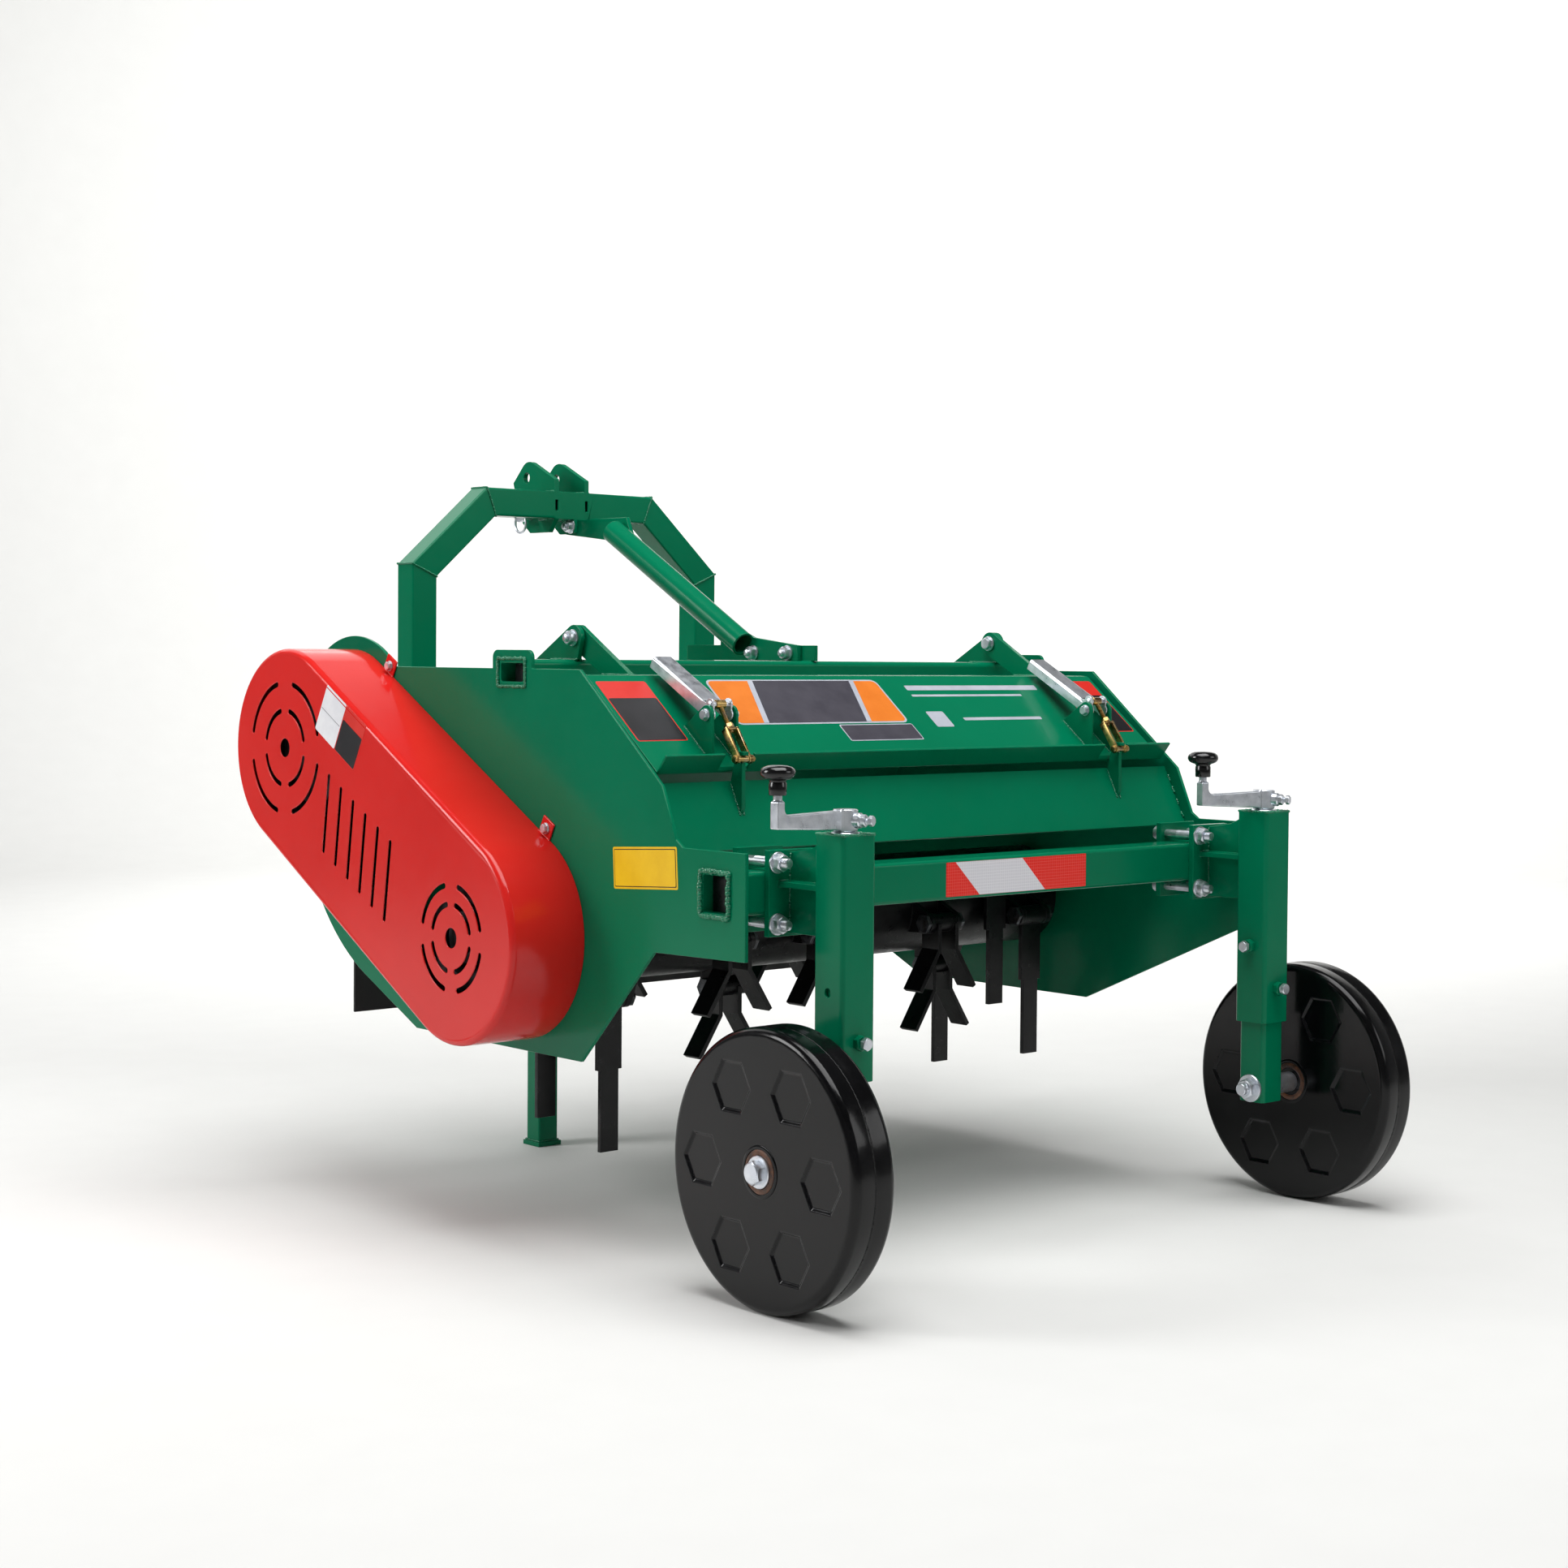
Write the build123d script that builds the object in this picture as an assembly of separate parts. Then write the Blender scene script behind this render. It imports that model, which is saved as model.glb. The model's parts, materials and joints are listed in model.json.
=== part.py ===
from build123d import *
import math
import os

# Potato haulm topper: a tractor implement that stands on two wheels and a parking stand.
# Millimetres. X points right seen from behind, Y forward to the tractor and Z up. The sizes
# count X from the middle of the machine, Y from the wheel axle line and Z from the ground,
# and save() moves every piece to the bottom centre of the whole machine.

# Clearances
running_gap = 0.05
loose_gap = 0.4
slide_gap = 0.5
hinge_gap = 1.0
backlash_share = 0.16

# Fasteners, as shares of the bolt radius
bolt_head_share = 1.1
bolt_hex_share = 1.85

# Side plates
half_width = 550
plate_wall = 6
plate_top = 848
plate_bottom = 275
tab_rear = 84
tab_top = 603
tab_low_left = 455
tab_low_right = 444
step_foot_y = 222
step_head = (237, 613)
slope_foot = (270, 687)
slope_head_y = 468
left_knee = (286, 451)
left_heel_y = 459
right_knee = (136, 422)
right_heel_y = 475
lobe_radius = 181
right_brow_y = 1165
nose_radius = 368
nose_drop = 35
chin_angle = 24.3
lug_margin = 17
lug_rise = 28
lug_corner = 12
inner_face = half_width - plate_wall

# Rotor and drive centres
rotor_y = 610
rotor_z = 452
shaft_y = 1095
shaft_z = 716

# Beams and sheets
corner_share = 1.5
sheet_wall = 4
tube_y = 641
tube_z = 842
tube_width = 70
tube_height = 40
tube_wall = 6
rear_beam_y = 150
rear_beam_z = 543
rear_beam_size = 60
rear_beam_wall = 4
front_beam_y = 1095
front_beam_z = 585
front_beam_size = 80
front_beam_wall = 5
seat_wall = 6
seat_half = 100
hood_drop = 4
hood_fold_high = (930, 715)
hood_fold_low = (1030, 560)
hood_front_y = 1113
hood_front_top = 436
hood_front_low = 395
panel_top = (299, 688)
panel_low = (250, 592)
skirt_wall = 5
skirt_height = 160
skirt_side_gap = 9
strip_wall = 5
strip_height = 26

# Headstock
post_outer = 336
post_size = 50
post_wall = 4
post_y = 1287
post_bottom = 545
post_bend = 1026
crown_half = 183
crown_top = 1166
cheek_wall = 12
cheek_top = 700
ear_offset = 33
ear_wall = 10
ear_heel_rise = 22
ear_crest_reach = 63
ear_crest_z = 1229
ear_crest_fillet = 28
ear_front_reach = 108
ear_front_z = 1186
ear_chin_reach = 85
ear_chin_z = 1117
ear_low = 1092
ear_sole_back = 6
ear_sole_reach = 53
ear_fillet = 14
top_link_reach = 65
top_link_z = 1194
top_link_radius = 9.75
spare_reach = 51
spare_z = 1126
slot_height = 19
slot_width = 6
link_pin_radius = 11
link_pin_length = 60
link_pin_z = 734
link_pin_shoulder = 5.5
link_pin_collar = 20
linch_hole_radius = 5
linch_hole_inset = 14

# Brace between the headstock and the top cross tube
brace_radius = 21
brace_wall = 4
brace_low = (765, 889)
brace_high = (1135, 1091)
gusset_wall = 8
foot_bolt_rear = 665
foot_bolt_front = 754
foot_bolt_rise = 13
foot_front = 945
foot_height = 26
crown_bolt_back = 15
crown_bolt_drop = 12
brace_bolt_radius = 6

# Gearbox and drive line
box_half_x = 80
box_half_y = 85
box_half_z = 85
box_wall = 12
boss_radius = 46
boss_length = 22
gear_teeth = 23
pinion_teeth = 13
gear_pitch_radius = 52
gear_face = 18
gear_web = 8
tooth_height_share = 0.8
tooth_root_share = 0.3
tooth_slope = 0.35
shaft_radius = 17.5
pto_end_y = 1285
pto_spline_length = 76
spline_count = 6
spline_depth = 3
spline_width = 8.7
cover_tube_radius = 38
cover_tube_wall = 5
cover_flange_radius = 56
cover_flange_wall = 8

# Belt drive and its guard
housing_depth = 40
housing_radius = 42
flange_half = 52
flange_wall = 12
flange_bolt_offset = 38
pulley_gap = 5
pulley_width = 60
upper_pulley_radius = 125
lower_pulley_radius = 80
groove_count = 3
groove_width = 13
groove_depth = 11
groove_pitch = 18
belt_proud = 2
belt_depth = 9
pulley_web = 16
pulley_rim = 12
hub_radius = 38
end_washer_radius = 24
end_washer_wall = 4
guard_radius = 159
guard_wall = 3
guard_depth = 127
guard_edge = 10
guard_tab_reach = 12
guard_tab_half = 15
guard_tab_wall = 3
guard_tab_upper_shift = -37
guard_tab_lower_shift = 20
vent_width = 8
vent_upper_rings = (104, 60)
vent_lower_rings = (78, 50)
vent_arc = 62
vent_hole_radius = 15
slot_count = 6
slot_length = 126
slot_first = (966, 617)
slot_last = (786, 524)
slot_lean = 8

# Rotor and flails
drum_radius = 84
drum_wall = 8
drum_end_gap = 24
drum_disc = 12
stub_radius = 25
plate_bore = 32
pivot_radius = 119
lug_wall = 10
lug_half_gap = 24
lug_tip = 17
lug_root_half = 26
flail_bolt_radius = 9
flail_head = 7
bush_radius = 16
flail_wall = 8
long_length = 240
long_width = 34
hanger_width = 46
hanger_length = 112
knife_width = 40
knife_straight = 44
knife_height = 110
knife_spread = 132
row_start = 12
row_step = 22.5

# The flails from left to right: share of the drum's half length, row of lugs, long blade or not
flail_plan = (
    (-0.842, 14, True),
    (-0.715, 12, True),
    (-0.588, 15, False),
    (-0.461, 8, False),
    (-0.277, 12, False),
    (-0.092, 8, False),
    (0.092, 15, False),
    (0.398, 8, False),
    (0.635, 12, False),
    (0.676, 6, True),
    (0.796, 14, True),
    (0.808, 8, True),
)

# Rear cover and its hinges
cover_side_gap = 8
cover_front_gap = 8
cover_top_z = 838
cover_fold_y = 472
cover_low = (300, 702)
cover_lip = 34
hinge_y = 617
hinge_z = 895
hinge_x = 451
hinge_wall = 8
hinge_boss = 20
hinge_pin_radius = 6
hinge_base_front = 716
arm_foot_rear = 484
arm_foot_front = 556

# Cover latches
latch_x = 402
latch_pivot = (327, 784)
latch_ear_wall = 5
latch_ear_gap = 40
latch_ear_radius = 14
latch_ear_foot_low = 312
latch_ear_foot_high = 378
latch_pin_radius = 5
handle_width = 36
handle_wall = 3
handle_depth = 18
handle_length = 159
handle_angle = 28.5
handle_web_start = 26
link_pin_lift = 15
hook_pin = (272, 721)
hook_pin_radius = 5
strap_wall = 4
strap_width = 13
strap_offset = 10
hook_wall = 7
hook_foot_low = 640
hook_foot_high = 684
hook_nose_rise = 11
hook_nose_reach = 9
hook_jaw = 7
lip_notch_half = 27

# Wheel legs
leg_x = 445
sleeve_size = 60
sleeve_wall = 4.5
sleeve_bottom = 295
sleeve_top = 630
cap_wall = 6
leg_bottom = 168
leg_top = 520
leg_wall = 5
nut_height = 40
axle_floor = 30
screw_radius = 10
screw_bottom = 330
clamp_wall = 10
clamp_half_x = 42
clamp_half_z = 60
clamp_bolt_x = 27
clamp_bolt_z = 42.5
clamp_bolt_radius = 6
web_wall = 8
web_half_z = 56
web_reach = 34
web_shoulder = 8
shelf_z = 552
shelf_half_x = 26
set_bolt_rear_z = 350
set_bolt_side_z = 417

# Cranks
crank_gap = 4
crank_hub_radius = 17
crank_hub_height = 30
crank_arm = 130
crank_bar_width = 16
crank_root_trim = 1
crank_tip_drop = 4
crank_tip_height = 18
crank_post_width = 13
crank_post_rise = 15
crank_post_fillet = 9
crank_turn_left = -5
crank_turn_right = 8
crank_pin_radius = 6
crank_pin_height = 30
knob_stem_radius = 12
knob_stem_height = 19
knob_radius = 24
knob_height = 21
knob_edge = 8

# Wheels
axle_z = 190
wheel_inner_x = 519
wheel_width = 72
wheel_shoulder = 12
wheel_wall = 4
wheel_hub_radius = 30
pocket_count = 6
pocket_ring = 122
pocket_radius = 40
pocket_depth = 3
pocket_wall = 4
axle_radius = 10
axle_spacer_radius = 16
axle_head_radius = 16
axle_head_height = 12
axle_washer_wall = 4
axle_washer_radius = 22

# Parking stand
stand_x = -130
stand_size = 40
stand_wall = 3
stand_top = 690
stand_foot_size = 48
stand_foot_wall = 8
socket_wall = 4.5
socket_bottom = 520
socket_top = 650

# Spare top link pin
spare_pin_length = 112
spare_pin_head = 15
spare_head_wall = 8
ring_radius = 17
ring_wire = 2.5

# Places that follow from the sizes above
wheel_outer_x = wheel_inner_x + wheel_width
axle_end_x = wheel_outer_x + slide_gap + axle_washer_wall + axle_head_height
middle_x = (axle_end_x - half_width - guard_depth) / 2
middle_y = (post_y + ear_front_reach - axle_z) / 2
tube_rear = tube_y - tube_width / 2
tube_front = tube_y + tube_width / 2
tube_top = tube_z + tube_height / 2
beam_rear = rear_beam_y - rear_beam_size / 2
beam_front = rear_beam_y + rear_beam_size / 2
front_face = front_beam_y + front_beam_size / 2
front_beam_top = front_beam_z + front_beam_size / 2
crown_rear = post_y - post_size / 2
crown_front = post_y + post_size / 2
crown_low = crown_top - post_size
ear_crest = (post_y + ear_crest_reach, ear_crest_z)
ear_chin = (post_y + ear_chin_reach, ear_chin_z)
top_link_hole = (post_y + top_link_reach, top_link_z)
spare_hole = (post_y + spare_reach, spare_z)
pulley_start = half_width + housing_depth + pulley_gap
pulley_end = pulley_start + pulley_width
pinion_pitch_radius = gear_pitch_radius * pinion_teeth / gear_teeth
foot_bolt_z = tube_top + foot_bolt_rise
crown_bolt_y = post_y - crown_bolt_back
crown_bolt_z = crown_low - crown_bolt_drop
gusset_x = (brace_radius - gusset_wall, brace_radius)
bracket_x = (brace_radius, brace_radius + gusset_wall)
crown_lug_x = (gusset_x[0] - gusset_wall, gusset_x[0])
socket_outer = stand_size + 2 * slide_gap + 2 * socket_wall
stand_y = front_face + socket_outer / 2
arm_outer = hinge_x - hinge_wall / 2 - hinge_gap
arm_inner = arm_outer - hinge_wall
leg_size = sleeve_size - 2 * sleeve_wall - 2 * slide_gap
drum_half = inner_face - drum_end_gap
upper_centre = (shaft_y, shaft_z)
lower_centre = (rotor_y, rotor_z)


# Shared shapes
def block(x, y, z):
    spans = (x, y, z)
    middle = [(low + high) / 2 for low, high in spans]
    size = [high - low for low, high in spans]
    return Pos(*middle) * Box(*size)


def about(centre, half):
    return (centre - half, centre + half)


def rod_x(start, end, y, z, radius):
    return Pos((start + end) / 2, y, z) * Rot(0, 90, 0) * Cylinder(radius, abs(end - start))


def rod_y(start, end, x, z, radius):
    return Pos(x, (start + end) / 2, z) * Rot(90, 0, 0) * Cylinder(radius, abs(end - start))


def rod_z(start, end, x, y, radius):
    return Pos(x, y, (start + end) / 2) * Cylinder(radius, abs(end - start))


def extrude_x(face, start, end):
    return extrude(Plane.YZ.offset(start) * face, amount=end - start)


def extrude_y(face, start, end):
    return extrude(Plane.XZ.offset(-end) * face, amount=end - start)


def hex_x(start, end, y, z, radius):
    return extrude_x(Pos(y, z) * RegularPolygon(radius, 6), min(start, end), max(start, end))


def hex_y(start, end, x, z, radius):
    return extrude_y(Pos(x, z) * RegularPolygon(radius, 6), min(start, end), max(start, end))


def outline(*points):
    return make_face(Polyline(*points, close=True))


def shift(point, reach, degrees):
    turn = math.radians(degrees)
    return (point[0] + reach * math.cos(turn), point[1] + reach * math.sin(turn))


def heading(start, end):
    return math.degrees(math.atan2(end[1] - start[1], end[0] - start[0]))


# A band of even thickness along a folded line
def strip(points, thickness):
    path = [Vector(*point) for point in points]
    runs = [(after - before).normalized() for before, after in zip(path, path[1:])]
    left = []
    right = []
    for spot, before, after in zip(path, runs[:1] + runs, runs + runs[-1:]):
        normal_before = Vector(-before.Y, before.X)
        normal_after = Vector(-after.Y, after.X)
        reach = thickness / 2 / (1 + normal_before.dot(normal_after))
        mitre = (normal_before + normal_after) * reach
        left.append(spot + mitre)
        right.append(spot - mitre)
    return outline(*left, *reversed(right))


# A plate with a round head and two foot points
def lobe(centre, radius, first, second):
    touches = []
    for foot, side in ((first, 1), (second, -1)):
        span = math.dist(foot, centre)
        turn = math.degrees(math.acos(radius / span)) * side
        touches.append(shift(centre, radius, heading(centre, foot) + turn))
    foot_middle = ((first[0] + second[0]) / 2, (first[1] + second[1]) / 2)
    crest = shift(centre, radius, heading(foot_middle, centre))
    sides = Polyline(touches[1], second, first, touches[0])
    return make_face(sides + ThreePointArc(touches[0], crest, touches[1]))


# The outline of a belt round two circles
def loop(first, first_radius, second, second_radius):
    course = heading(first, second)
    open_angle = math.degrees(math.acos((first_radius - second_radius) / math.dist(first, second)))
    first_left = shift(first, first_radius, course + open_angle)
    first_right = shift(first, first_radius, course - open_angle)
    second_left = shift(second, second_radius, course + open_angle)
    second_right = shift(second, second_radius, course - open_angle)
    first_back = shift(first, first_radius, course + 180)
    second_back = shift(second, second_radius, course)
    edges = ThreePointArc(first_left, first_back, first_right) + Line(first_right, second_right)
    edges += ThreePointArc(second_right, second_back, second_left) + Line(second_left, first_left)
    return make_face(edges)


def save(name, *pieces):
    solids = [Pos(-middle_x, -middle_y, 0) * solid for piece in pieces for solid in piece.solids()]
    whole = solids[0] if len(solids) == 1 else Compound(solids)
    whole.label = name
    export_step(whole, os.path.join("parts", name + ".step"))


# Side plates, sheets and beams
def side_plate(start, end, knee, heel_y, tab_low, lobed):
    nose_y = shaft_y + lobe_radius
    nose_z = shaft_z - nose_drop
    nose_centre = (nose_y - nose_radius, nose_z)
    chin = shift(nose_centre, nose_radius, chin_angle - 90)
    nose_middle = shift(nose_centre, nose_radius, (chin_angle - 90) / 2)
    chin_foot = (chin[0] - (chin[1] - plate_bottom) / math.tan(math.radians(chin_angle)), plate_bottom)
    lobe_start = (shaft_y - math.sqrt(lobe_radius**2 - (plate_top - shaft_z) ** 2), plate_top)
    brow = lobe_start if lobed else (right_brow_y, plate_top)
    lug_top = plate_top + lug_rise
    edges = Polyline(
        chin,
        chin_foot,
        (heel_y, plate_bottom),
        knee,
        (tab_rear, tab_low),
        (tab_rear, tab_top),
        (step_foot_y, tab_top),
        step_head,
        slope_foot,
        (slope_head_y, plate_top),
        (tube_rear - lug_margin, plate_top),
        (tube_rear - lug_margin, lug_top),
        (tube_front + lug_margin, lug_top),
        (tube_front + lug_margin, plate_top),
        brow,
    )
    if lobed:
        edges += ThreePointArc(brow, (shaft_y, shaft_z + lobe_radius), (nose_y, shaft_z))
    else:
        edges += Line(brow, (nose_y, shaft_z))
    edges += Line((nose_y, shaft_z), (nose_y, nose_z))
    edges += ThreePointArc((nose_y, nose_z), nose_middle, chin)
    face = make_face(edges)
    lug_corners = [corner for corner in face.vertices() if math.isclose(corner.Y, lug_top, abs_tol=0.01)]
    face = fillet(lug_corners, lug_corner)
    face -= tube_face((tube_rear, tube_front), about(tube_z, tube_height / 2), tube_wall, 0)
    face -= tube_face((beam_rear, beam_front), about(rear_beam_z, rear_beam_size / 2), rear_beam_wall, 0)
    face -= Pos(rotor_y, rotor_z) * Circle(plate_bore)
    return extrude_x(face, start, end)


# Drawn tubes have corners rounded by a share of their wall
def tube_face(y, z, wall, inset):
    width = y[1] - y[0] - 2 * inset
    height = z[1] - z[0] - 2 * inset
    middle = ((y[0] + y[1]) / 2, (z[0] + z[1]) / 2)
    return Pos(*middle) * RectangleRounded(width, height, corner_share * wall - inset)


def square_tube(x, y, z, wall):
    return extrude_x(tube_face(y, z, wall, 0) - tube_face(y, z, wall, wall), *x)


def upright_bar(x, y, z, wall):
    return Pos(0, 0, z[0]) * extrude(tube_face(x, y, wall, 0), amount=z[1] - z[0])


def upright_tube(x, y, z, wall):
    ring = tube_face(x, y, wall, 0) - tube_face(x, y, wall, wall)
    return Pos(0, 0, z[0]) * extrude(ring, amount=z[1] - z[0])


def make_side_plates():
    left = side_plate(-half_width, -inner_face, left_knee, left_heel_y, tab_low_left, True)
    left -= rod_x(-half_width, -inner_face, shaft_y, shaft_z, plate_bore)
    right = side_plate(inner_face, half_width, right_knee, right_heel_y, tab_low_right, False)
    save("left_side_plate", left)
    save("right_side_plate", right)


def make_sheets():
    hood_path = [
        (tube_front + sheet_wall, cover_top_z - hood_drop),
        hood_fold_high,
        hood_fold_low,
        (hood_front_y, hood_front_top),
        (hood_front_y, hood_front_low),
    ]
    save("hood_sheet", extrude_x(strip(hood_path, sheet_wall), -inner_face, inner_face))

    panel = extrude_x(strip([panel_top, panel_low], sheet_wall), -inner_face, inner_face)
    save("lower_rear_panel", panel + hook(-latch_x) + hook(latch_x))

    skirt_y = hood_front_y + sheet_wall / 2
    skirt_x = (skirt_side_gap - inner_face, inner_face - skirt_side_gap)
    skirt_z = (hood_front_top - skirt_height, hood_front_top)
    save("front_skirt", block(skirt_x, (skirt_y, skirt_y + skirt_wall), skirt_z))
    strip_y = skirt_y + skirt_wall
    strip_z = (hood_front_top - strip_height, hood_front_top)
    save("skirt_strip", block(skirt_x, (strip_y, strip_y + strip_wall), strip_z))


# The hook plate on the lower panel that a latch pulls on
def hook(x):
    lean = (panel_top[0] - panel_low[0]) / (panel_top[1] - panel_low[1])
    foot_low = (panel_low[0] + (hook_foot_low - panel_low[1]) * lean, hook_foot_low)
    foot_high = (panel_low[0] + (hook_foot_high - panel_low[1]) * lean, hook_foot_high)
    seat = hook_pin_radius + loose_gap
    nose_y = hook_pin[0] - hook_nose_reach
    nose_top = hook_pin[1] + hook_nose_rise
    face = outline(
        foot_low,
        foot_high,
        (hook_pin[0] + 2 * hook_nose_reach, nose_top - 2 * hook_nose_rise),
        (hook_pin[0] + hook_nose_rise, nose_top),
        (nose_y, nose_top),
        (nose_y, hook_pin[1]),
        (nose_y + hook_jaw, hook_pin[1] - seat),
        (nose_y + hook_jaw, hook_foot_low + hook_nose_rise),
    )
    face -= Pos(*hook_pin) * Circle(seat)
    face -= Pos(nose_y, hook_pin[1]) * Rectangle(2 * hook_nose_reach, 2 * seat)
    return extrude_x(face, x - hook_wall / 2, x + hook_wall / 2)


def make_beams():
    rear_z = about(rear_beam_z, rear_beam_size / 2)
    rear_beam = square_tube((-half_width, half_width), (beam_rear, beam_front), rear_z, rear_beam_wall)
    save("rear_beam", rear_beam)

    tube = square_tube(
        (-half_width, half_width), (tube_rear, tube_front), about(tube_z, tube_height / 2), tube_wall
    )
    hinge_face = lobe((hinge_y, hinge_z), hinge_boss, (hinge_base_front, tube_top), (tube_rear, tube_top))
    hinge_face -= Pos(hinge_y, hinge_z) * Circle(hinge_pin_radius)
    for x in (-hinge_x, hinge_x):
        tube += extrude_x(hinge_face, x - hinge_wall / 2, x + hinge_wall / 2)
    bracket = block(bracket_x, (tube_rear, foot_front), (tube_top, tube_top + foot_height))
    for y in (foot_bolt_rear, foot_bolt_front):
        bracket -= rod_x(*bracket_x, y, foot_bolt_z, brace_bolt_radius)
    save("top_cross_tube", tube + bracket)

    front_y = about(front_beam_y, front_beam_size / 2)
    front_z = about(front_beam_z, front_beam_size / 2)
    beam = square_tube((-inner_face, inner_face), front_y, front_z, front_beam_wall)
    seat_y = about(shaft_y, box_half_y)
    beam += block((-seat_half, seat_half), seat_y, (front_beam_top, front_beam_top + seat_wall))
    socket_x = about(stand_x, socket_outer / 2)
    socket_y = about(stand_y, socket_outer / 2)
    beam += upright_tube(socket_x, socket_y, (socket_bottom, socket_top), socket_wall)
    beam -= rod_y(stand_y, socket_y[1], stand_x, (socket_bottom + socket_top) / 2, brace_bolt_radius)
    save("front_beam", beam)


# Headstock, link pins and brace
def portal_points(inset):
    lean = math.atan2(post_outer - crown_half, crown_top - post_bend)
    post_x = post_outer - inset
    bend_z = post_bend - inset * math.tan(lean / 2)
    crown_x = crown_half - inset * math.tan(math.pi / 4 - lean / 2)
    crown_z = crown_top - inset
    right = [(post_x, post_bottom), (post_x, bend_z), (crown_x, crown_z)]
    left = [(-x, z) for x, z in reversed(right)]
    return right + left


def portal(inset):
    return outline(*portal_points(inset)) - outline(*portal_points(post_size - inset))


def ear(x):
    face = outline(
        (crown_rear, crown_low),
        (crown_rear, crown_top + ear_heel_rise),
        ear_crest,
        (post_y + ear_front_reach, ear_front_z),
        ear_chin,
        (post_y + ear_sole_reach, ear_low),
        (post_y - ear_sole_back, ear_low),
    )
    crest = [corner for corner in face.vertices() if math.dist((corner.X, corner.Y), ear_crest) < 1]
    face = fillet(crest, ear_crest_fillet)
    chin = [corner for corner in face.vertices() if math.dist((corner.X, corner.Y), ear_chin) < 1]
    face = fillet(chin, ear_fillet)
    face -= Pos(post_y, crown_top - post_size / 2) * Rectangle(post_size, post_size)
    face -= Pos(*top_link_hole) * Circle(top_link_radius)
    face -= Pos(*spare_hole) * Circle(top_link_radius)
    return extrude_x(face, x - ear_wall / 2, x + ear_wall / 2)


def make_headstock():
    frame = extrude_y(portal(0), crown_rear, crown_front)
    frame -= extrude_y(portal(post_wall), crown_rear + post_wall, crown_front - post_wall)
    slot_z = about(crown_top - post_size / 2, slot_height / 2)
    for side in (-1, 1):
        slot_x = about(side * ear_offset, slot_width / 2)
        frame -= block(slot_x, (crown_rear, crown_rear + post_wall), slot_z)
        frame += ear(side * ear_offset)
        cheek_x = sorted((side * (post_outer - post_size), side * (post_outer - post_size - cheek_wall)))
        frame += block(cheek_x, (front_face, crown_front), (post_bottom, cheek_top))
    lug_y = (crown_rear, 2 * crown_bolt_y - crown_rear)
    lug = block(crown_lug_x, lug_y, (crown_bolt_z - crown_bolt_drop, crown_low))
    lug -= rod_x(*crown_lug_x, crown_bolt_y, crown_bolt_z, brace_bolt_radius)
    save("headstock_frame", frame + lug)

    pins = []
    for side in (-1, 1):
        shoulder = post_outer + link_pin_shoulder
        tip = shoulder + link_pin_length
        pin = rod_x(side * post_outer, side * shoulder, post_y, link_pin_z, link_pin_collar)
        pin += rod_x(side * shoulder, side * tip, post_y, link_pin_z, link_pin_radius)
        hole_x = side * (tip - linch_hole_inset)
        hole_z = about(link_pin_z, link_pin_radius)
        pin -= rod_z(*hole_z, hole_x, post_y, linch_hole_radius)
        pins.append(pin)
    save("lower_link_pins", *pins)


def make_brace():
    middle_point = ((brace_low[0] + brace_high[0]) / 2, (brace_low[1] + brace_high[1]) / 2)
    place = Pos(0, *middle_point) * Rot(heading(brace_low, brace_high) - 90, 0, 0)
    length = math.dist(brace_low, brace_high)
    pipe = place * Cylinder(brace_radius, length)
    bore = place * Cylinder(brace_radius - brace_wall, length)
    slope = (brace_high[1] - brace_low[1]) / (brace_high[0] - brace_low[0])
    foot_z = tube_top + running_gap
    front_y = foot_bolt_front + foot_bolt_front - foot_bolt_rear
    foot = outline(
        (foot_bolt_rear - foot_height, foot_z),
        (foot_bolt_rear - foot_height, foot_z + foot_height),
        (foot_bolt_front, foot_bolt_z + foot_height),
        (front_y, brace_low[1] + slope * (front_y - brace_low[0])),
        (front_y, foot_z),
    )
    foot -= Pos(foot_bolt_rear, foot_bolt_z) * Circle(brace_bolt_radius)
    foot -= Pos(foot_bolt_front, foot_bolt_z) * Circle(brace_bolt_radius)
    crown_z = crown_low - running_gap
    crown = outline(
        (brace_high[0] - 2 * brace_radius, brace_high[1] - 2 * brace_radius * slope),
        (brace_high[0] - brace_radius, crown_z),
        (crown_bolt_y + foot_height, crown_z),
        (crown_bolt_y + foot_height, crown_z - foot_height),
    )
    crown -= Pos(crown_bolt_y, crown_bolt_z) * Circle(brace_bolt_radius)
    brace = pipe + extrude_x(foot, *gusset_x) + extrude_x(crown, *gusset_x)
    save("brace", brace - bore)


# Gearbox and bevel gears
def make_gearbox():
    span_y = about(shaft_y, box_half_y)
    span_z = about(shaft_z, box_half_z)
    box = block((-box_half_x, box_half_x), span_y, span_z)
    box = fillet(box.edges(), box_wall / 2)
    box += rod_y(span_y[1], span_y[1] + boss_length, 0, shaft_z, boss_radius)
    box += rod_x(box_half_x, box_half_x + box_wall, shaft_y, shaft_z, boss_radius)
    cavity_x = box_half_x - box_wall
    cavity_y = (span_y[0] + box_wall, span_y[1] - box_wall)
    cavity_z = (span_z[0] + box_wall, span_z[1] - box_wall)
    box -= block((-cavity_x, cavity_x), cavity_y, cavity_z)
    bore = shaft_radius + running_gap
    box -= rod_y(shaft_y, span_y[1] + boss_length, 0, shaft_z, bore)
    box -= rod_x(-box_half_x, box_half_x, shaft_y, shaft_z, bore)
    save("gearbox_housing", box)


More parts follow.
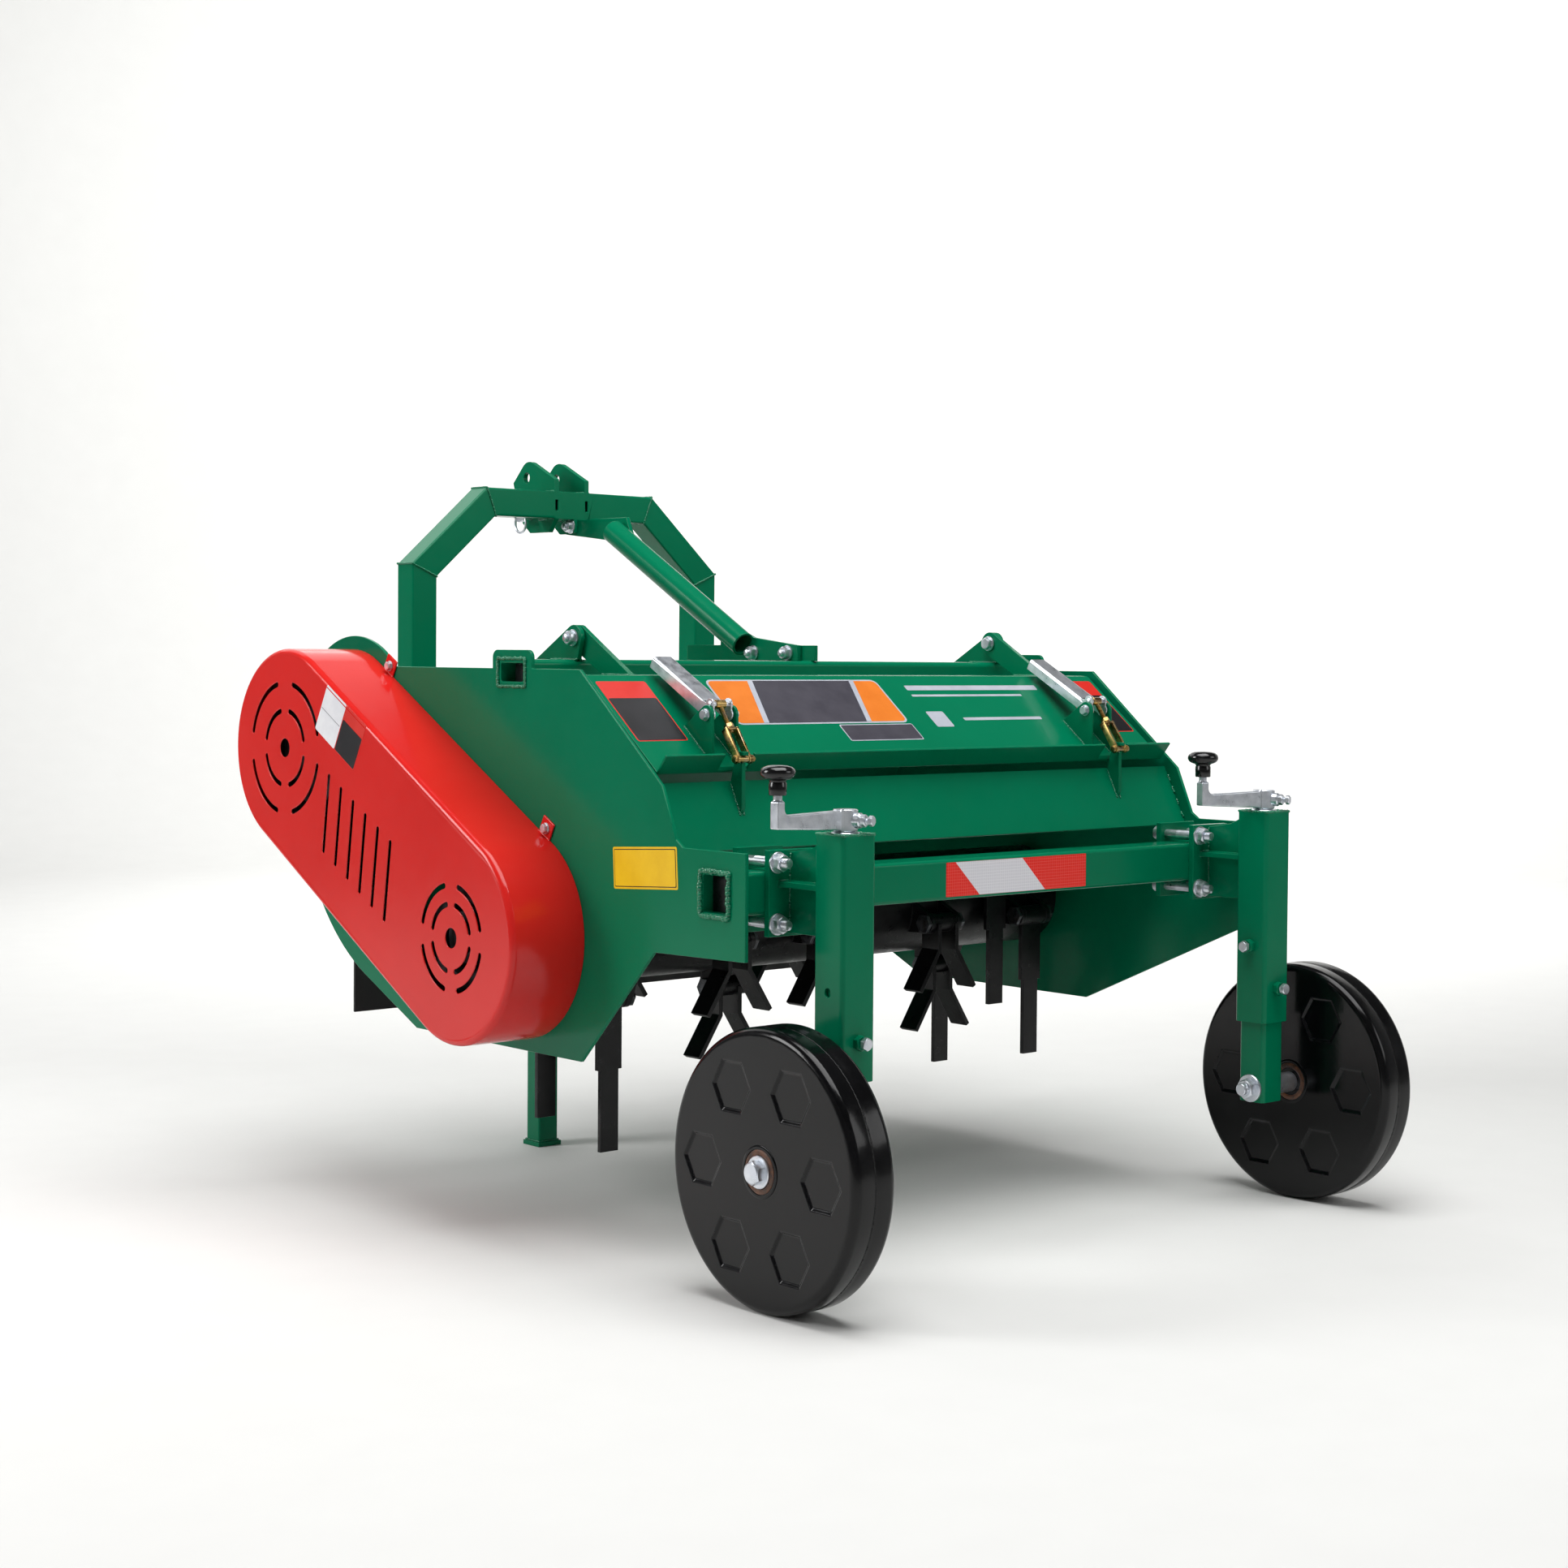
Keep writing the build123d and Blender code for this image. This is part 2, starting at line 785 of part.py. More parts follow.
# A straight bevel gear with its apex at the origin and its axis along Z
def bevel(teeth, pitch_radius, mate_radius, bore, first_slot):
    module = 2 * pitch_radius / teeth
    cone = math.degrees(math.atan2(pitch_radius, mate_radius))
    outer = math.hypot(pitch_radius, mate_radius)
    inner = outer - gear_face
    above = tooth_height_share * module
    below = above + tooth_root_share * module
    tip_angle = cone + math.degrees(above / outer)
    root_angle = cone - math.degrees(below / outer)

    def ray(reach, angle):
        turn = math.radians(angle)
        return (reach * math.sin(turn), reach * math.cos(turn))

    root_outer = ray(outer, root_angle)
    root_inner = ray(inner, root_angle)
    section = outline(
        ray(inner, tip_angle),
        ray(outer, tip_angle),
        root_outer,
        (root_outer[0], root_outer[1] + gear_web),
        (bore, root_outer[1] + gear_web),
        (bore, root_inner[1]),
        root_inner,
    )
    gear = revolve(Plane.XZ * section, Axis.Z)
    half_slot = math.pi * module * (1 + backlash_share) / 4

    def slot_face(reach):
        scale = reach / outer
        turn = math.radians(cone)
        corners = []
        for height, side in ((-below, -1), (-below, 1), (2 * above, 1), (2 * above, -1)):
            width = side * (half_slot + height * tooth_slope) * scale
            radius = reach * math.sin(turn) + height * scale * math.cos(turn)
            level = reach * math.cos(turn) - height * scale * math.sin(turn)
            corners.append((radius, width, level))
        return make_face(Polyline(*corners, close=True))

    slot = loft([slot_face(inner - module), slot_face(outer + module)], ruled=True)
    for tooth in range(teeth):
        gear -= Rot(0, 0, first_slot + 360 * tooth / teeth) * slot
    return gear


def make_drive_shafts():
    apex = Pos(0, shaft_y, shaft_z)
    ring_gear = bevel(gear_teeth, gear_pitch_radius, pinion_pitch_radius, shaft_radius + running_gap, 0)
    half_pitch = 180 / gear_teeth
    save("bevel_gear", apex * Rot(-90, 0, 0) * Rot(0, 0, 180 + half_pitch) * ring_gear)

    input_start = shaft_y + shaft_radius + gear_web
    shaft = rod_y(input_start, pto_end_y, 0, shaft_z, shaft_radius)
    groove_y = (pto_end_y - pto_spline_length, pto_end_y)
    groove_x = spline_width / 2
    groove_z = (shaft_radius - spline_depth, shaft_radius + spline_depth)
    for spline in range(spline_count):
        groove = block((-groove_x, groove_x), groove_y, groove_z)
        shaft -= Pos(0, 0, shaft_z) * Rot(0, 360 * spline / spline_count, 0) * groove
    save("input_shaft", shaft)

    pinion = bevel(pinion_teeth, pinion_pitch_radius, gear_pitch_radius, shaft_radius / 2, 0)
    cross_end = box_half_x - running_gap
    cross = rod_x(-pulley_end, cross_end, shaft_y, shaft_z, shaft_radius)
    cross += apex * Rot(0, -90, 0) * Rot(0, 0, 90) * pinion
    save("cross_shaft", cross)

    cover = rod_x(-inner_face, -box_half_x, shaft_y, shaft_z, cover_tube_radius)
    cover += rod_x(-box_half_x - cover_flange_wall, -box_half_x, shaft_y, shaft_z, cover_flange_radius)
    cover -= rod_x(-inner_face, -box_half_x, shaft_y, shaft_z, cover_tube_radius - cover_tube_wall)
    save("shaft_tube", cover)


# Bearings, pulleys, belts and the guard
def housing(side, y, z, radius):
    near = side * half_width
    flange = block(
        sorted((near, near + side * flange_wall)), about(y, flange_half), about(z, flange_half)
    )
    flange = fillet(flange.edges().filter_by(Axis.X), flange_wall)
    unit = flange + rod_x(near, near + side * housing_depth, y, z, housing_radius)
    for y_side in (-1, 1):
        for z_side in (-1, 1):
            bolt_y = y + y_side * flange_bolt_offset
            bolt_z = z + z_side * flange_bolt_offset
            unit -= rod_x(near, near + side * flange_wall, bolt_y, bolt_z, brace_bolt_radius)
    return unit - rod_x(near, near + side * housing_depth, y, z, radius + running_gap)


def pulley(centre, radius, bore):
    wheel = rod_x(-pulley_end, -pulley_start, *centre, radius)
    for groove in range(groove_count):
        x = groove_x_place(groove)
        ring = rod_x(x - groove_width / 2, x + groove_width / 2, *centre, radius)
        ring -= rod_x(x - groove_width / 2, x + groove_width / 2, *centre, radius - groove_depth)
        wheel -= ring
    recess_x = (-pulley_end, -pulley_start - pulley_web)
    recess = rod_x(*recess_x, *centre, radius - groove_depth - pulley_rim)
    wheel -= recess - rod_x(*recess_x, *centre, hub_radius)
    return wheel - rod_x(-pulley_end, -pulley_start, *centre, bore + running_gap)


def groove_x_place(groove):
    middle = -(pulley_start + pulley_end) / 2
    return middle + (groove - (groove_count - 1) / 2) * groove_pitch


def shaft_end(centre, radius):
    washer_end = pulley_end + end_washer_wall
    washer = rod_x(-washer_end, -pulley_end, *centre, end_washer_radius)
    return washer + hex_x(-washer_end - end_washer_wall, -washer_end, *centre, radius)


def make_belt_drive():
    rotor_left = housing(-1, *lower_centre, stub_radius)
    rotor_right = housing(1, *lower_centre, stub_radius)
    drive_left = housing(-1, *upper_centre, shaft_radius)
    save("bearing_housings", rotor_left, rotor_right, drive_left)
    upper = pulley(upper_centre, upper_pulley_radius, shaft_radius)
    lower = pulley(lower_centre, lower_pulley_radius, stub_radius)
    save("upper_pulley", upper, shaft_end(upper_centre, shaft_radius))
    save("lower_pulley", lower, shaft_end(lower_centre, shaft_radius))

    belt_face = loop(
        upper_centre, upper_pulley_radius + belt_proud, lower_centre, lower_pulley_radius + belt_proud
    )
    belt_face -= loop(
        upper_centre, upper_pulley_radius - belt_depth, lower_centre, lower_pulley_radius - belt_depth
    )
    belt_half = groove_width / 2 - loose_gap
    places = [groove_x_place(groove) for groove in range(groove_count)]
    save("v_belts", *[extrude_x(belt_face, x - belt_half, x + belt_half) for x in places])


def guard_shell(inset):
    face = loop(upper_centre, guard_radius - inset, lower_centre, guard_radius - inset)
    shell = extrude_x(face, -half_width - guard_depth + inset, -half_width)
    return fillet(shell.faces().sort_by(Axis.X)[0].edges(), guard_edge - inset)


def vents():
    cuts = Sketch()
    rings = [(upper_centre, radius) for radius in vent_upper_rings]
    rings += [(lower_centre, radius) for radius in vent_lower_rings]
    for centre, radius in rings:
        for quarter in range(4):
            start = 90 * quarter + (90 - vent_arc) / 2
            cuts += SlotArc(CenterArc(centre, radius, start, vent_arc), vent_width)
    for centre in (upper_centre, lower_centre):
        cuts += Pos(*centre) * Circle(vent_hole_radius)
    for slot in range(slot_count):
        share = slot / (slot_count - 1)
        y = slot_first[0] + share * (slot_last[0] - slot_first[0])
        z = slot_first[1] + share * (slot_last[1] - slot_first[1])
        cuts += Pos(y, z) * Rot(0, 0, 90 + slot_lean) * SlotOverall(slot_length, vent_width)
    return cuts


def guard_bolt_places():
    course = heading(lower_centre, upper_centre)
    reach = guard_radius + guard_tab_reach
    places = []
    for centre, along in ((upper_centre, guard_tab_upper_shift), (lower_centre, guard_tab_lower_shift)):
        foot = shift(centre, along, course)
        places += [shift(foot, reach, course + 90), shift(foot, reach, course - 90)]
    return places


def make_guard():
    guard = guard_shell(0) - guard_shell(guard_wall)
    course = heading(lower_centre, upper_centre)
    for place in guard_bolt_places():
        tab = Pos(*place) * Rot(0, 0, course) * Rectangle(2 * guard_tab_half, 2 * guard_tab_half)
        tab -= Pos(*place) * Circle(brace_bolt_radius)
        tab -= loop(upper_centre, guard_radius - guard_wall, lower_centre, guard_radius - guard_wall)
        guard += extrude_x(tab, -half_width - guard_tab_wall, -half_width)
    guard -= extrude_x(vents(), -half_width - guard_depth, -half_width - guard_depth + guard_wall)
    save("belt_guard", guard)


# Rotor, flails and their bolts
class Flail:
    def __init__(self, name, share, row, long):
        self.name = name
        self.x = share * drum_half
        self.long = long
        self.angle = row_start + row_step * row
        self.pivot = shift(lower_centre, pivot_radius, self.angle)


def flails():
    return [Flail(f"flail_{number:02d}", *each) for number, each in enumerate(flail_plan, start=1)]


def bush():
    half = lug_half_gap - loose_gap
    return rod_x(-half, half, 0, 0, bush_radius)


def bush_bore():
    return rod_x(-lug_half_gap, lug_half_gap, 0, 0, flail_bolt_radius + loose_gap)


def long_flail():
    hanger = block(about(0, hanger_width / 2), about(0, flail_wall / 2), (-hanger_length, 0))
    blade = block(about(0, long_width / 2), about(0, flail_wall / 2), (-long_length, -hanger_length))
    return bush() + hanger + blade - bush_bore()


def knife_pair():
    root_x = lug_half_gap - loose_gap - flail_wall / 2
    tip_x = knife_spread / 2 - flail_wall / 2
    pair = bush()
    for side in (-1, 1):
        path = [(side * root_x, 0), (side * root_x, -knife_straight), (side * tip_x, -knife_height)]
        pair += extrude_y(strip(path, flail_wall), -knife_width / 2, knife_width / 2)
    return pair - bush_bore()


def make_rotor():
    drum = rod_x(-drum_half, drum_half, *lower_centre, drum_radius)
    hollow_half = drum_half - drum_disc
    drum -= rod_x(-hollow_half, hollow_half, *lower_centre, drum_radius - drum_wall)
    drum += rod_x(-pulley_end, -hollow_half, *lower_centre, stub_radius)
    drum += rod_x(hollow_half, half_width + housing_depth, *lower_centre, stub_radius)
    lug_face = lobe(
        (pivot_radius, 0), lug_tip, (drum_radius - drum_wall / 2, -lug_root_half),
        (drum_radius - drum_wall / 2, lug_root_half)
    )
    lug_face -= Pos(pivot_radius, 0) * Circle(flail_bolt_radius)
    lug_face -= Circle(drum_radius - drum_wall / 2)
    bolts = []
    for flail in flails():
        spin = Pos(0, rotor_y, rotor_z) * Rot(flail.angle, 0, 0)
        grip = lug_half_gap + lug_wall
        for side in (-1, 1):
            lug_x = sorted((flail.x + side * lug_half_gap, flail.x + side * grip))
            drum += spin * extrude_x(lug_face, *lug_x)
        bolts.append(bolt_x(flail.x - grip, flail.x + grip, *flail.pivot, flail_bolt_radius, flail_head))
        shape = long_flail() if flail.long else knife_pair()
        save(flail.name, Pos(flail.x, *flail.pivot) * shape)
    save("rotor_drum", drum)
    save("flail_bolts", *bolts)


# Bolts with a hexagon head at the start and a nut at the end
def bolt_x(start, end, y, z, radius, height=None):
    height = height or radius * bolt_head_share
    sign = 1 if end > start else -1
    head = hex_x(start - sign * height, start, y, z, radius * bolt_hex_share)
    nut = hex_x(end, end + sign * height, y, z, radius * bolt_hex_share)
    return rod_x(start, end, y, z, radius - running_gap) + head + nut


def bolt_y(start, end, x, z, radius):
    height = radius * bolt_head_share
    sign = 1 if end > start else -1
    head = hex_y(start - sign * height, start, x, z, radius * bolt_hex_share)
    nut = hex_y(end, end + sign * height, x, z, radius * bolt_hex_share)
    return rod_y(start, end, x, z, radius - running_gap) + head + nut


def stud(start, end, y, z, radius):
    height = radius * bolt_head_share
    sign = 1 if end > start else -1
    head = hex_x(start - sign * height, start, y, z, radius * bolt_hex_share)
    return rod_x(start, end, y, z, radius - running_gap) + head


# Rear cover with its hinge arms and latches
def cover_slope_z(y):
    slope = (cover_top_z - cover_low[1]) / (cover_fold_y - cover_low[0])
    lift = sheet_wall / 2 * math.hypot(1, slope)
    return cover_low[1] + slope * (y - cover_low[0]) + lift


def make_cover():
    cover_half = inner_face - cover_side_gap
    fold = (cover_fold_y, cover_top_z)
    lip_end = shift(cover_low, cover_lip, heading(fold, cover_low) - 90)
    path = [(tube_rear - cover_front_gap, cover_top_z), fold, cover_low, lip_end]
    cover = extrude_x(strip(path, sheet_wall), -cover_half, cover_half)
    notch_y = (lip_end[0] - cover_lip, cover_low[0] - sheet_wall)
    notch_z = (cover_low[1] - sheet_wall, lip_end[1] + sheet_wall)
    arm_foot_z = cover_top_z + sheet_wall / 2
    arm = lobe(
        (hinge_y, hinge_z), hinge_boss, (arm_foot_front, arm_foot_z), (arm_foot_rear, arm_foot_z)
    )
    arm -= Pos(hinge_y, hinge_z) * Circle(hinge_pin_radius + loose_gap)
    foot_high = (latch_ear_foot_high, cover_slope_z(latch_ear_foot_high))
    foot_low = (latch_ear_foot_low, cover_slope_z(latch_ear_foot_low))
    ear_face = lobe(latch_pivot, latch_ear_radius, foot_high, foot_low)
    ear_face -= Pos(*latch_pivot) * Circle(latch_pin_radius)
    hinge_pins = []
    latch_pins = []
    for side in (-1, 1):
        cover -= block(about(side * latch_x, lip_notch_half), notch_y, notch_z)
        cover += extrude_x(arm, *sorted((side * arm_inner, side * arm_outer)))
        hinge_far = side * (hinge_x + hinge_wall / 2)
        hinge_near = side * (arm_inner - hinge_gap)
        hinge_pins.append(bolt_x(hinge_far, hinge_near, hinge_y, hinge_z, hinge_pin_radius))
        ear_in = latch_ear_gap / 2
        ear_out = ear_in + latch_ear_wall
        for ear_side in (-1, 1):
            ear_x = sorted((side * latch_x + ear_side * ear_in, side * latch_x + ear_side * ear_out))
            cover += extrude_x(ear_face, *ear_x)
        stud_in = handle_width / 2 - handle_wall
        for ear_side in (-1, 1):
            stud_x = [side * latch_x + ear_side * reach for reach in (ear_out, stud_in)]
            latch_pins.append(stud(*stud_x, *latch_pivot, latch_pin_radius))
    save("rear_cover", cover)
    save("hinge_pins", *hinge_pins)
    save("latch_pins", *latch_pins)
    for name, x in (("left", -latch_x), ("right", latch_x)):
        save(name + "_latch_handle", latch_handle(x))
        save(name + "_latch_link", latch_link(x))


def link_head():
    return (latch_pivot[0], latch_pivot[1] + link_pin_lift)


def latch_handle(x):
    half_depth = handle_depth / 2
    pin = shift((0, 0), link_pin_lift, 90 - handle_angle)
    face = Pos(handle_length / 2, 0) * Rectangle(handle_length, handle_depth)
    face += Circle(handle_depth / 2 + handle_wall / 2)
    face += Pos(*pin) * Circle(half_depth)
    rear_edge = (shift((0, 0), half_depth, 180), shift(pin, half_depth, 180))
    face += outline(*rear_edge, pin, (handle_web_start, half_depth), (0, 0))
    face -= Circle(latch_pin_radius + loose_gap)
    half = handle_width / 2
    sides = extrude_x(face, -half, half) - extrude_x(
        Rectangle(3 * handle_length, 3 * handle_length), handle_wall - half, half - handle_wall
    )
    web_face = outline(
        (handle_web_start, half_depth - handle_wall),
        (handle_length, half_depth - handle_wall),
        (handle_length, half_depth),
        (handle_web_start, half_depth),
    )
    handle = sides + extrude_x(web_face, -half, half) + rod_x(-half, half, *pin, latch_pin_radius)
    return Pos(x, *latch_pivot) * Rot(handle_angle, 0, 0) * handle


def latch_link(x):
    strap = loop(link_head(), strap_width / 2, hook_pin, strap_width / 2)
    strap -= Pos(*link_head()) * Circle(latch_pin_radius + loose_gap)
    link = rod_x(x - strap_offset, x + strap_offset, *hook_pin, hook_pin_radius)
    for side in (-1, 1):
        strap_x = about(x + side * strap_offset, strap_wall / 2)
        link += extrude_x(strap, *strap_x)
    return link


# Wheel legs, cranks, axles and wheels
def make_leg(name, side, crank_turn):
    x = side * leg_x
    span_x = about(x, sleeve_size / 2)
    span_y = about(0, sleeve_size / 2)
    sleeve = upright_tube(span_x, span_y, (sleeve_bottom, sleeve_top), sleeve_wall)
    sleeve += upright_bar(span_x, span_y, (sleeve_top - cap_wall, sleeve_top), sleeve_wall)
    sleeve -= rod_z(sleeve_top - cap_wall, sleeve_top, x, 0, screw_radius + running_gap)
    clamp_y = (beam_rear - clamp_wall, beam_rear)
    web_y = (span_y[1], clamp_y[0])
    sleeve += extrude_x(web_outline(web_y), *about(x, web_wall / 2))
    sleeve += block(about(x, shelf_half_x), web_y, (shelf_z, shelf_z + web_wall))
    sleeve += clamp_plate(x, clamp_y)
    sleeve -= rod_y(-sleeve_size / 2, 0, x, set_bolt_rear_z, clamp_bolt_radius)
    sleeve -= rod_x(span_x[0], x, 0, set_bolt_side_z, clamp_bolt_radius)
    save(name + "_leg_sleeve", sleeve)

    leg_half = leg_size / 2
    leg = upright_tube(about(x, leg_half), about(0, leg_half), (leg_bottom, leg_top), leg_wall)
    leg_span = (about(x, leg_half), about(0, leg_half))
    leg += upright_bar(*leg_span, (leg_bottom, axle_z + axle_floor), leg_wall)
    leg += upright_bar(*leg_span, (leg_top - nut_height, leg_top), leg_wall)
    leg -= rod_z(leg_top - nut_height, leg_top, x, 0, screw_radius + slide_gap)
    leg -= rod_x(x - leg_half, x + leg_half, 0, axle_z, axle_radius + running_gap)
    save(name + "_inner_leg", leg)

    crank_low = sleeve_top + crank_gap
    crank_high = crank_low + crank_hub_height
    crank = rod_z(screw_bottom, crank_low, x, 0, screw_radius)
    crank += rod_z(sleeve_top + running_gap, crank_low, x, 0, crank_hub_radius - crank_gap)
    crank += rod_z(crank_low, crank_high, x, 0, crank_hub_radius)
    bar = extrude_y(crank_outline(crank_low, crank_high), *about(0, crank_bar_width / 2))
    pin_z = (crank_high + crank_post_rise, crank_high + crank_pin_height)
    bar += rod_z(*pin_z, -crank_arm, 0, crank_pin_radius)
    swing = Pos(x, 0, 0) * Rot(0, 0, -crank_turn)
    save(name + "_crank", crank + swing * bar)
    stem_low = crank_high + crank_hub_radius + crank_pin_radius
    stem_high = stem_low + knob_stem_height
    knob = rod_z(stem_low, stem_high, -crank_arm, 0, knob_stem_radius)
    head = rod_z(stem_high, stem_high + knob_height, -crank_arm, 0, knob_radius)
    knob += fillet(head.edges(), knob_edge)
    pin_top = crank_high + crank_pin_height + loose_gap
    knob -= rod_z(stem_low, pin_top, -crank_arm, 0, crank_pin_radius + loose_gap)
    save(name + "_crank_knob", swing * knob)

    wheel = wheel_shape()
    face_x = -wheel_outer_x if side < 0 else wheel_inner_x
    save(name + "_wheel", Pos(face_x, 0, axle_z) * wheel)
    save(name + "_axle", axle(side))


# The web between sleeve and clamp, which rises to the top of the sleeve
def web_outline(y):
    low, high = about(rear_beam_z, web_half_z)
    return outline(
        (y[0], low),
        (y[1], low),
        (y[1], high),
        (y[0] + web_reach, high + web_shoulder),
        (y[0], sleeve_top - cap_wall),
    )


# The forged crank arm seen from the side: it tapers to the tip and bends up to the knob
def crank_outline(low, high):
    post_near = crank_post_width / 2 - crank_arm
    post_far = -crank_post_width / 2 - crank_arm
    post_top = high + crank_post_rise
    bend = (post_near, high - crank_tip_drop)
    face = outline(
        (0, low + crank_root_trim),
        (0, high - crank_root_trim),
        bend,
        (post_near, post_top),
        (post_far, post_top),
        (post_far, bend[1] - crank_tip_height),
    )
    inner = [corner for corner in face.vertices() if math.dist((corner.X, corner.Y), bend) < 1]
    return fillet(inner, crank_post_fillet)


def clamp_plate(x, y):
    plate = block(about(x, clamp_half_x), y, about(rear_beam_z, clamp_half_z))
    for bolt_x_place, bolt_z_place in clamp_bolts(x):
        plate -= rod_y(*y, bolt_x_place, bolt_z_place, clamp_bolt_radius)
    return plate


def clamp_bolts(x):
    sides = (-1, 1)
    return [(x + i * clamp_bolt_x, rear_beam_z + j * clamp_bolt_z) for i in sides for j in sides]


# One pressed wheel with its inner face at X 0 and its axis along X
def wheel_shape():
    drum = rod_x(0, wheel_width, 0, 0, axle_z)
    drum = fillet(drum.edges().filter_by(GeomType.CIRCLE), wheel_shoulder)
    cavity = rod_x(wheel_wall, wheel_width - wheel_wall, 0, 0, axle_z - wheel_wall)
    cavity = fillet(cavity.edges().filter_by(GeomType.CIRCLE), wheel_shoulder - wheel_wall)
    cavity -= rod_x(0, wheel_width, 0, 0, wheel_hub_radius)
    for pocket in range(pocket_count):
        y, z = shift((0, 0), pocket_ring, 360 * pocket / pocket_count)
        for start, end in ((0, pocket_depth), (wheel_width - pocket_depth, wheel_width)):
            drum -= hex_x(start, end, y, z, pocket_radius)
        for start, end in ((0, pocket_depth), (wheel_width - pocket_depth, wheel_width)):
            inner = (start, end + pocket_wall) if start == 0 else (start - pocket_wall, end)
            cavity -= hex_x(*inner, y, z, pocket_radius + pocket_wall)
    return drum - cavity - rod_x(0, wheel_width, 0, 0, axle_radius + running_gap)


def axle(side):
    leg_near = leg_x - leg_size / 2
    leg_far = leg_x + leg_size / 2
    washer_in = leg_near - axle_washer_wall
    nut_in = washer_in - axle_head_height
    washer_out = axle_end_x - axle_head_height
    seat = washer_out - axle_washer_wall
    spindle = rod_x(side * nut_in, side * axle_end_x, 0, axle_z, axle_radius)
    spindle += hex_x(side * nut_in, side * washer_in, 0, axle_z, axle_head_radius)
    spindle += rod_x(side * washer_in, side * leg_near, 0, axle_z, axle_washer_radius)
    spindle += rod_x(side * leg_far, side * (wheel_inner_x - slide_gap), 0, axle_z, axle_spacer_radius)
    spindle += rod_x(side * seat, side * washer_out, 0, axle_z, axle_washer_radius)
    return spindle + hex_x(side * washer_out, side * axle_end_x, 0, axle_z, axle_head_radius)


# Parking stand and spare top link pin
def make_stand():
    span_x = about(stand_x, stand_size / 2)
    span_y = about(stand_y, stand_size / 2)
    stand = upright_tube(span_x, span_y, (stand_foot_wall, stand_top), stand_wall)
    stand += upright_bar(span_x, span_y, (stand_top - stand_wall, stand_top), stand_wall)
    foot_half = stand_foot_size / 2
    stand += block(about(stand_x, foot_half), about(stand_y, foot_half), (0, stand_foot_wall))
    save("parking_stand", stand)


def make_spare_pin():
    half = spare_pin_length / 2
    pin = rod_x(-half, half, *spare_hole, top_link_radius - running_gap)
    pin += rod_x(-half - spare_head_wall, -half, *spare_hole, spare_pin_head)
    ring_x = -half - spare_head_wall / 2
    ring_z = spare_hole[1] - ring_radius
    ring = Pos(ring_x, spare_hole[0], ring_z) * Rot(0, 90, 0) * Torus(ring_radius, ring_wire)
    save("top_link_pin", pin + ring)


# Fasteners of the frame
def make_frame_bolts():
    clamps = []
    plates = []
    for x in (-leg_x, leg_x):
        plates.append(clamp_plate(x, (beam_front, beam_front + clamp_wall)))
        grip_y = (beam_rear - clamp_wall, beam_front + clamp_wall)
        for place in clamp_bolts(x):
            clamps.append(bolt_y(*grip_y, *place, clamp_bolt_radius))
    save("front_clamp_plates", *plates)
    save("clamp_bolts", *clamps)

    bolts = []
    for y in (foot_bolt_rear, foot_bolt_front):
        bolts.append(bolt_x(gusset_x[0], bracket_x[1], y, foot_bolt_z, brace_bolt_radius))
    bolts.append(bolt_x(crown_lug_x[0], gusset_x[1], crown_bolt_y, crown_bolt_z, brace_bolt_radius))
    for place in guard_bolt_places():
        bolts.append(stud(-half_width - guard_tab_wall, -half_width, *place, brace_bolt_radius))
    for centre, side in ((lower_centre, -1), (lower_centre, 1), (upper_centre, -1)):
        flange_x = (side * (half_width + flange_wall), side * half_width)
        for i in (-1, 1):
            for j in (-1, 1):
                place = (centre[0] + i * flange_bolt_offset, centre[1] + j * flange_bolt_offset)
                bolts.append(stud(*flange_x, *place, brace_bolt_radius))
    socket_front = stand_y + socket_outer / 2
    stand_front = stand_y + stand_size / 2 + loose_gap
    socket_middle = (socket_bottom + socket_top) / 2
    bolts.append(stud_y(socket_front, stand_front, stand_x, socket_middle, brace_bolt_radius))
    for x in (-leg_x, leg_x):
        leg_rear = -leg_size / 2 - loose_gap
        bolts.append(stud_y(-sleeve_size / 2, leg_rear, x, set_bolt_rear_z, clamp_bolt_radius))
    side_x = leg_x - sleeve_size / 2
    tip_x = leg_x - leg_size / 2 - loose_gap
    bolts.append(stud(side_x, tip_x, 0, set_bolt_side_z, clamp_bolt_radius))
    save("frame_bolts", *bolts)


def stud_y(start, end, x, z, radius):
    height = radius * bolt_head_share
    sign = 1 if end > start else -1
    head = hex_y(start - sign * height, start, x, z, radius * bolt_hex_share)
    return rod_y(start, end, x, z, radius - running_gap) + head


def main():
    os.makedirs("parts", exist_ok=True)
    make_side_plates()
    make_sheets()
    make_beams()
    make_headstock()
    make_brace()
    make_gearbox()
    make_drive_shafts()
    make_belt_drive()
    make_guard()
    make_rotor()
    make_cover()
    make_leg("left", -1, crank_turn_left)
    make_leg("right", 1, crank_turn_right)
    make_stand()
    make_spare_pin()
    make_frame_bolts()


if __name__ == "__main__":
    main()
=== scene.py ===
import json
import math
import random

import bmesh
import bpy
from mathutils import Matrix, Vector

